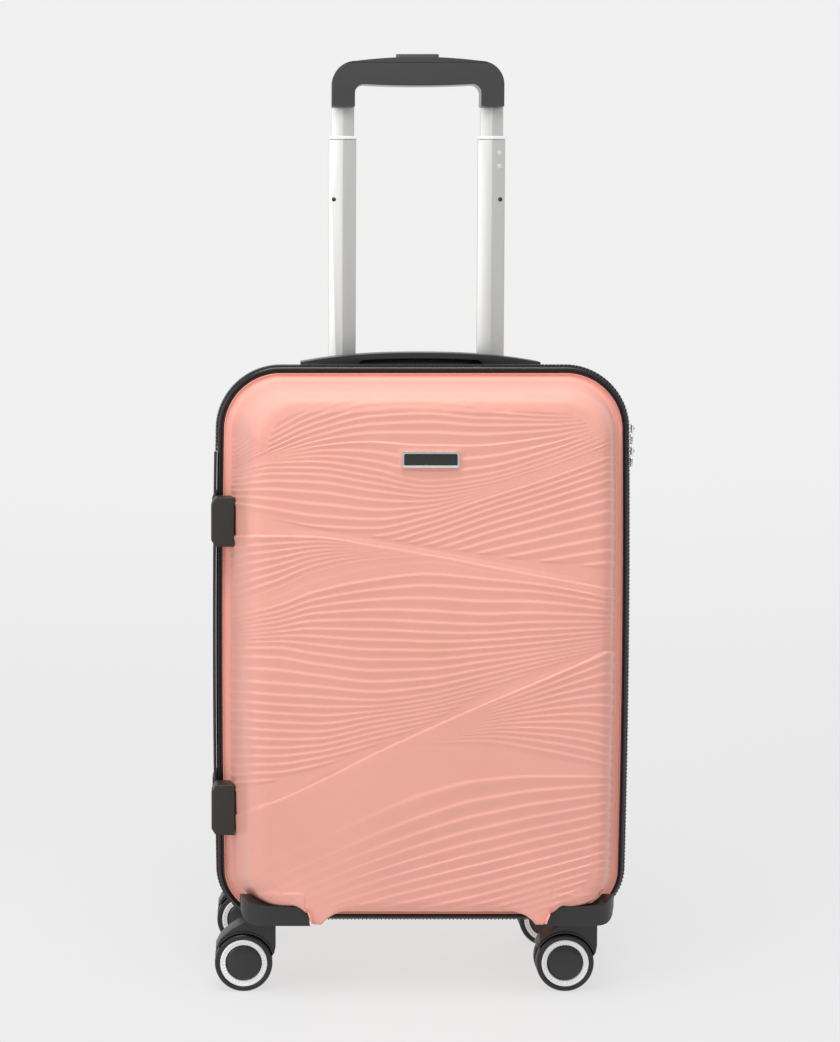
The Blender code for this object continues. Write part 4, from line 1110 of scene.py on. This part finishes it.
def build_grip():
    """The grip's two mouldings, cut from one rounded form; the body is hollow for the release bar."""
    low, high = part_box("grip_body")
    cover_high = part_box("grip_cover")[1].z
    y = (low.y + high.y) / 2
    spare = 0.012
    outline = grip_outline(low.z - spare, high.x, cover_high)
    whole = rounded(plate([outline], (high.y - low.y) / 2, facing_front(y)), 0.0085, 9, 30)
    whole = halved(whole, low.z, True)

    body = rounded(halved(whole, high.z, False), 0.0004, 2, 50)
    channel_high = 0.8055
    channel, pocket = (0.0720, 0.0050, 0.7985, channel_high), (0.0205, 0.0059, 0.8040, 0.85)
    for half_x, half_y, start, end in (channel, pocket):
        body = cut(body, box_mesh((-half_x, y - half_y, start), (half_x, y + half_y, end)))
    for word in ("left", "right"):
        x = span_of(f"inner_tube_{word}")[0].x
        body = cut(body, rod((x, y, low.z - 0.01), (x, y, channel_high - 0.0005), 0.0025, 20))
    piece("grip_body_shaped", body, "trolley_inner", "grip", GRIP, replaces=("grip_body",))

    cover = rounded(halved(whole, high.z + GAP, True), 0.0004, 2, 50)
    slot = plate([rounded_outline(0.0200, 0.0059, 0.0044)], 0.02, Matrix.Translation((0, y, cover_high)))
    piece("grip_cover_shaped", cut(cover, slot), "trolley_inner", "grip", GRIP, replaces=("grip_cover",))
    kept("grip_button", GREY, 0.0006, 3)


def build_cup():
    for node in ("trolley_cup", "trolley_bracket"):
        kept(node, MOULDING, 0.0005)


# Carry handles


def handle_mesh(half, top, low, thick, gap_half, width, place):
    """A carry handle: an arched strap that thickens into flat sloping end slabs."""
    over = [(x, top - 0.0085 * abs(x / half) ** 2.4) for x in np.linspace(half, -half, 29)]
    slab = [(-half, low), (-gap_half - 0.0130, low), (-gap_half - 0.0080, low + 0.0006)]
    span = np.linspace(-gap_half, gap_half, 17)
    strap = [(x, top - thick - 0.0016 * abs(x / gap_half) ** 2.2) for x in span]
    return rounded(plate([over + slab + strap + mirrored(slab)], width / 2, place), 0.0021, 4, 30)


def build_handle_dish():
    """The low arched wall of the base that closes the hollow behind the carry handle."""
    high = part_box("carry_handle_base")[1]
    half, rise, foot = 0.0580, 0.0080, 0.0060
    arch = [(x, high.z + rise - 0.0016 * (x / half) ** 2) for x in np.linspace(half, -half, 17)]
    outline = arch + [(-half - foot, high.z - 0.0020), (half + foot, high.z - 0.0020)]
    dish = rounded(plate([outline], 0.0010, facing_front(high.y - 0.0014)), 0.0006, 2)
    piece("carry_handle_dish", dish, "rear_half", "black_moulding", GRIP)


def build_handles():
    node = "carry_handle_grip"
    low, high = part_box(node)
    place = facing_front((low.y + high.y) / 2)
    mesh = handle_mesh(high.x, high.z, low.z, 0.0050, 0.0520, high.y - low.y, place)
    piece(f"{node}_shaped", mesh, "carry_grip", "black_moulding", MOULDING, replaces=(node,))
    kept("carry_handle_base", MOULDING, 0.0004)
    build_handle_dish()

    node = "side_handle_grip"
    low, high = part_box(node)
    centre, half = span_of(node)
    place = Matrix(((0, 1, 0, 0), (0, 0, 1, centre.y), (1, 0, 0, centre.z), (0, 0, 0, 1)))
    mesh = handle_mesh(half.z, high.x, low.x, 0.0045, 0.0460, high.y - low.y, place)
    piece(f"{node}_shaped", mesh, "side_grip", "black_moulding", MOULDING, replaces=(node,))
    kept("side_handle_base", MOULDING, 0.0004)


# Feet, badge, lock and zip pulls


def build_feet():
    for depth in ("front", "rear"):
        for word in ("lower", "upper"):
            kept(f"{depth}_foot_{word}", FOOT_GREY, 0.0011, 3)


def build_badge():
    """A chrome frame with a plain black plate set a little way into it."""
    centre, half = span_of("badge_frame")
    back, front = SHELL_LOW.y + EDGE_STEP, centre.y - half.y
    rim, recess = 0.0019, 0.00035
    middle = (centre.x, centre.z)
    outlines = [
        rounded_outline(half.x, half.z, 0.0026, middle),
        rounded_outline(half.x - rim, half.z - rim, 0.0012, middle),
    ]
    depth = (back - front) / 2
    frame_mesh = rounded(plate(outlines, depth, facing_front(back - depth)), 0.00035, 3)
    piece("badge_frame_shaped", frame_mesh, "front_half", "chrome", CHROME, replaces=("badge_frame",))
    inner = rounded_outline(half.x - rim - 0.0001, half.z - rim - 0.0001, 0.0011, middle)
    depth -= recess
    plain = rounded(plate([inner], depth, facing_front(back - depth)), 0.0002, 2)
    piece("badge_plate_shaped", plain, "front_half", "black_moulding", CAP, replaces=("badge_plate",))


def dial_mesh(centre, half, radius):
    """A dial with round shoulders and ten finger grooves."""
    upper = [(radius - 0.0006, half), (radius - 0.0002, half - 0.0003), (radius, half - 0.0008)]
    profile = [(0.0, half)] + upper + [(r, -z) for r, z in reversed(upper)] + [(0.0, -half)]
    mesh = turned(profile, 60, (0, 0, 1), centre)
    grooves, reach = 10, Vector((0, 0, 0.01))
    for step in range(grooves):
        a = 2 * math.pi * (step + 0.5) / grooves
        at = centre + Vector((radius * math.cos(a), radius * math.sin(a), 0))
        mesh = cut(mesh, rod(at - reach, at + reach, 0.00045, 8))
    return mesh


def build_lock():
    kept("lock_housing", MOULDING, 0.0003)
    kept("lock_slide", CHROME, 0.0002)
    for number in (1, 2, 3):
        node = f"lock_dial_{number}"
        centre, half = span_of(node)
        piece(f"{node}_knurled", dial_mesh(centre, half.z, half.x), node, "button", GREY, replaces=(node,))


def slider_mesh(centre, half):
    """A slider's flat body, and the bridge over it that holds the tab."""
    wide, tall = half.y, half.z
    outline = [(-wide, tall), (-wide * 0.55, -tall), (wide * 0.55, -tall), (wide, tall), (0, tall * 0.8)]
    body = rounded(plate([outline], 0.0009, facing_side(centre)), 0.0004, 3)
    across = Matrix(((1, 0, 0, centre.x), (0, 0, 1, centre.y), (0, 1, 0, centre.z), (0, 0, 0, 1)))
    bridge = [(0.0, tall * 0.7)] + arc(0.0004, 0, 0.0021, 80, -80, 10) + [(0.0, -tall * 0.7)]
    bridge = rounded(plate([bridge], 0.0010, across), 0.0003, 2)
    return joined("slider", [(0, body), (0, bridge)])


def tab_mesh(centre, half):
    """A pull tab with round corners and a small hole."""
    hole = rounded_outline(0.0018, 0.0012, 0.0011, (0, -half.z * 0.35))
    outlines = [rounded_outline(half.y, half.z, 0.0022), hole]
    return rounded(plate(outlines, half.x, facing_side(centre)), 0.0003, 3)


def build_zip_pulls():
    for word in ("upper", "lower"):
        for node, shape in ((f"zip_slider_{word}", slider_mesh), (f"zip_tab_{word}", tab_mesh)):
            piece(f"{node}_shaped", shape(*span_of(node)), node, "chrome", CHROME, replaces=(node,))


# Inside: linings, divider and straps


def ripple(points, size, seed):
    """Soft creases: a sum of a few slow waves in set directions."""
    rng = np.random.default_rng(seed)
    total, waves = np.zeros(len(points)), 9
    for _ in range(waves):
        direction = rng.normal(size=3)
        direction /= np.linalg.norm(direction)
        total += np.sin(points @ direction * rng.uniform(60, 190) + rng.uniform(0, 6.28))
    return size * total / waves


def two_layers(name, points, back, faces, total):
    """A thin closed sheet: the same faces on two layers of points, joined round their first ring."""
    count = len(points)
    quads = np.concatenate([faces, faces + count, band_faces(0, count, total)])
    return mesh_of(name, np.concatenate([points, back]), quads)


def cloth_tray(section, facing, back):
    """A half's lining: a soft tray just inside the shell, with creases that never reach the shell."""
    gap, thick, least_inset = 0.0036, 0.0008, 0.0100
    table = np.array(section)
    rows = []
    for depth in np.linspace(0.0015, back - EDGE_Y, 26):
        sides = [np.interp(depth + 0.003, table[:, 0], table[:, k]) + gap for k in (1, 2, 3)]
        rows.append((depth, *(max(amount, least_inset) for amount in sides)))
    points, faces, total = tray(rows, facing, (64, 90))
    flat = mesh_of("flat", points, faces)
    normal = outward(np.array([v.normal[:] for v in flat.vertices]), points, facing)
    bpy.data.meshes.remove(flat)
    slack = smoothstep(0.004, 0.020, np.abs(points[:, 1]) - EDGE_Y)
    crease = ripple(points, 0.0016, 7 if facing < 0 else 11) - 0.0004
    points = points + normal * (np.minimum(crease, 0.0003) * slack)[:, None]
    return two_layers("lining", points, points - normal * thick, faces, total)


def build_linings():
    for half, section, facing in (("front", FRONT_SECTION, -1), ("rear", REAR_SECTION, 1)):
        node = f"{half}_lining"
        low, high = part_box(node)
        back = max(abs(low.y), abs(high.y))
        mesh = cloth_tray(section, facing, back)
        cloth = piece(f"{node}_cloth", mesh, f"{half}_half", "lining", LINING, replaces=(node,))


def divider_mesh(inset, centre, half, zip_z):
    """The divider's cloth, slack in its middle and held flat at its edge and under its zip."""
    points, faces, total = tray([(0, inset, inset, inset)], 1, (60, 90))
    span = np.abs(points[:, 0]) / half.x
    tall = np.abs(points[:, 2] - centre.z) / half.z
    soft = (1 - smoothstep(0.75, 1.0, span)) * (1 - smoothstep(0.8, 1.0, tall))
    soft *= 1 - np.exp(-(((points[:, 2] - zip_z) / 0.012) ** 2))
    points[:, 1] = centre.y
    points[:, 1] += ripple(points, 0.0011, 3) * soft
    return two_layers("divider", points, points + np.array([0.0, 0.0009, 0.0]), faces, total)


def divider_zip_mesh(reach, y, z):
    """The tape, teeth and puller of the divider's zip."""
    layers = (
        (rounded_outline(reach * 0.84, 0.0085, 0.0040, (0, z)), 0.0004, 0.0, 0.0001, 1),
        (rounded_outline(reach * 0.82, 0.0016, 0.0010, (0, z)), 0.0006, 0.0006, 0.0003, 2),
        (rounded_outline(0.0120, 0.0030, 0.0028, (reach * 0.66, z - 0.0010)), 0.0006, 0.0017, 0.0003, 2),
    )
    parts = [
        rounded(plate([outline], thick, facing_front(y + lift)), *edge)
        for outline, thick, lift, *edge in layers
    ]
    return joined("track", enumerate(parts))


def build_divider():
    """The zipped divider: a mesh-backed cloth panel with a bound edge and a zip across its top."""
    centre, half = span_of("divider_panel")
    inset = HALF_WIDTH + BULGE - half.x
    zip_z = centre.z + half.z - 0.040
    mesh = divider_mesh(inset, centre, half, zip_z)
    panel = piece("divider_cloth", mesh, "front_half", "lining", LINING, replaces=("divider_panel",))
    track = divider_zip_mesh(half.x, centre.y + 0.0012, zip_z)
    track = piece("divider_zip", track, "front_half", "zip_tape", TAPE, TEETH, CHROME)
    bound = plate([ring(inset), ring(inset + 0.0050)], 0.0013, facing_front(centre.y + 0.0004))
    binding = piece("divider_binding", rounded(bound, 0.0005, 2), "front_half", "zip_tape", TAPE)


def buckle_mesh(place):
    """A side release buckle: the socket, the ladder bars, and the two arms that show at its sides."""
    bars = [rounded_outline(0.0155, 0.0120, 0.0030, (0, -0.0150))]
    bars += [rounded_outline(0.0125, 0.0028, 0.0010, (0, z)) for z in (-0.0095, -0.0205)]
    parts = [([rounded_outline(0.0155, 0.0150, 0.0040, (0, 0.0130))], 0.0028, 0.0010, 3)]
    parts.append((bars, 0.0024, 0.0006, 2))
    for x in (-0.0155, 0.0155):
        parts.append(([rounded_outline(0.0030, 0.0085, 0.0025, (x, 0.0075))], 0.0021, 0.0006, 2))
    meshes = [rounded(plate(lines, thick, place), *edge) for lines, thick, *edge in parts]
    return joined("buckle", [(0, mesh) for mesh in meshes])


def strap_mesh(middle, lean, half, length, slant):
    """Flat webbing on its line, with slightly rolled edges and a slow wave along it."""
    rows, columns = 90, 8
    verts = []
    for layer in (-0.00045, 0.00045):
        for along in length * (np.arange(rows + 1) / rows - 0.5):
            for share in np.linspace(-1, 1, columns + 1):
                wave = 0.0004 * math.sin(along * 70 + slant) - 0.0002 * share * share
                verts.append(middle + lean @ Vector((share * half, wave + layer, along)))
    return mesh_of("strap", verts, slab_faces(rows, columns))


def build_straps():
    """Two crossed packing straps, the first with a buckle below the crossing."""
    length, half = 0.410, 0.0123
    for word, slant in (("a", 1), ("b", -1)):
        node = f"cross_strap_{word}"
        centre = span_of(node)[0]
        middle = Vector((0, centre.y, centre.z))
        lean = Matrix.Rotation(math.radians(34 * slant), 3, "Y")
        mesh = strap_mesh(middle, lean, half, length, slant)
        strap = piece(f"{node}_webbing", mesh, "rear_half", "webbing", WEBBING, replaces=(node,))
        fittings = []
        if slant > 0:
            turn = Matrix.Translation(middle) @ lean.to_4x4() @ facing_front(0.0, 0.0, -0.062)
            fittings = [piece(f"{node}_buckle", buckle_mesh(turn), "rear_half", "black_moulding", MOULDING)]


# Stage: floor, backdrop, lights and camera


def floor_mesh():
    """A floor that sweeps up into the backdrop in one curve."""
    side, start, bend, radius, top = 5.0, -3.0, 2.2, 0.9, 4.0
    rows = [(start, 0.0), (bend, 0.0)]
    turn = np.radians(np.arange(6, 91, 6))
    rows += [(bend + radius * math.sin(a), radius - radius * math.cos(a)) for a in turn]
    rows += [(bend + radius, top)]
    verts = [(x, y, z - 0.0002) for y, z in rows for x in (-side, side)]
    faces = [(2 * i, 2 * i + 1, 2 * i + 3, 2 * i + 2) for i in range(len(rows) - 1)]
    return mesh_of("floor", verts, faces)


def build_stage():
    floor = bpy.data.objects.new("floor", floor_mesh())
    bpy.context.scene.collection.objects.link(floor)
    floor.data.materials.append(studio_white())

    world = bpy.data.worlds.new("studio")
    bpy.context.scene.world = world
    world.use_nodes = True
    background = world.node_tree.nodes["Background"]
    background.inputs["Color"].default_value = (1.0, 1.0, 1.0, 1.0)
    background.inputs["Strength"].default_value = 0.53

    lamps = (
        ("overhead", (-0.15, -0.80, 2.30), 1.5, 42.0),
        ("left", (-1.90, -1.30, 0.95), 1.3, 12.5),
    )
    aim = Vector((0, 0, 0.35))
    for name, place, size, power in lamps:
        light = bpy.data.lights.new(name, "AREA")
        light.size = size
        light.energy = power
        lamp = bpy.data.objects.new(name, light)
        lamp.location = place
        lamp.rotation_euler = (aim - Vector(place)).to_track_quat("-Z", "Y").to_euler()
        bpy.context.scene.collection.objects.link(lamp)


def studio_white():
    """Pale paper that glows a little, more so up the backdrop, so that shadows stay soft."""
    white = (1.0, 1.0, 1.0, 1.0)
    material = surface("studio_white", (0.14, 0.14, 0.14), 0.85, tint=0.01, blotch=2.0, grain=(60, 0.01),
                       Emission_Color=white, Specular_IOR_Level=0.0)
    tree = material.node_tree
    place = add(tree, "ShaderNodeTexCoord")
    split = add(tree, "ShaderNodeSeparateXYZ")
    glow = add(tree, "ShaderNodeMapRange", From_Min=0.6, From_Max=2.8, To_Min=0.67, To_Max=0.76)
    tree.links.new(place.outputs["Object"], split.inputs["Vector"])
    tree.links.new(split.outputs["Y"], glow.inputs["Value"])
    tree.links.new(glow.outputs["Result"], tree.nodes["Principled BSDF"].inputs["Emission Strength"])
    return material


def build_camera():
    """The photo's view: from a little left and above, tilted down, the object off the lens's axis."""
    tilt = 0.0621
    data = bpy.data.cameras.new("camera")
    data.sensor_width = 36.0
    data.lens = 74.75
    data.shift_x = 0.1585
    data.shift_y = -0.1412
    camera = bpy.data.objects.new("camera", data)
    camera.location = (-0.1487, -1.9129, 0.6515)
    camera.rotation_euler = (math.pi / 2 - tilt, 0, 0)
    bpy.context.scene.collection.objects.link(camera)
    bpy.context.scene.camera = camera
    bpy.context.scene.view_settings.view_transform = "Standard"


build_shells()
build_seam()
build_casters()
build_tubes()
build_grip()
build_cup()
build_handles()
build_feet()
build_badge()
build_lock()
build_zip_pulls()
build_linings()
build_divider()
build_straps()
build_stage()
build_camera()
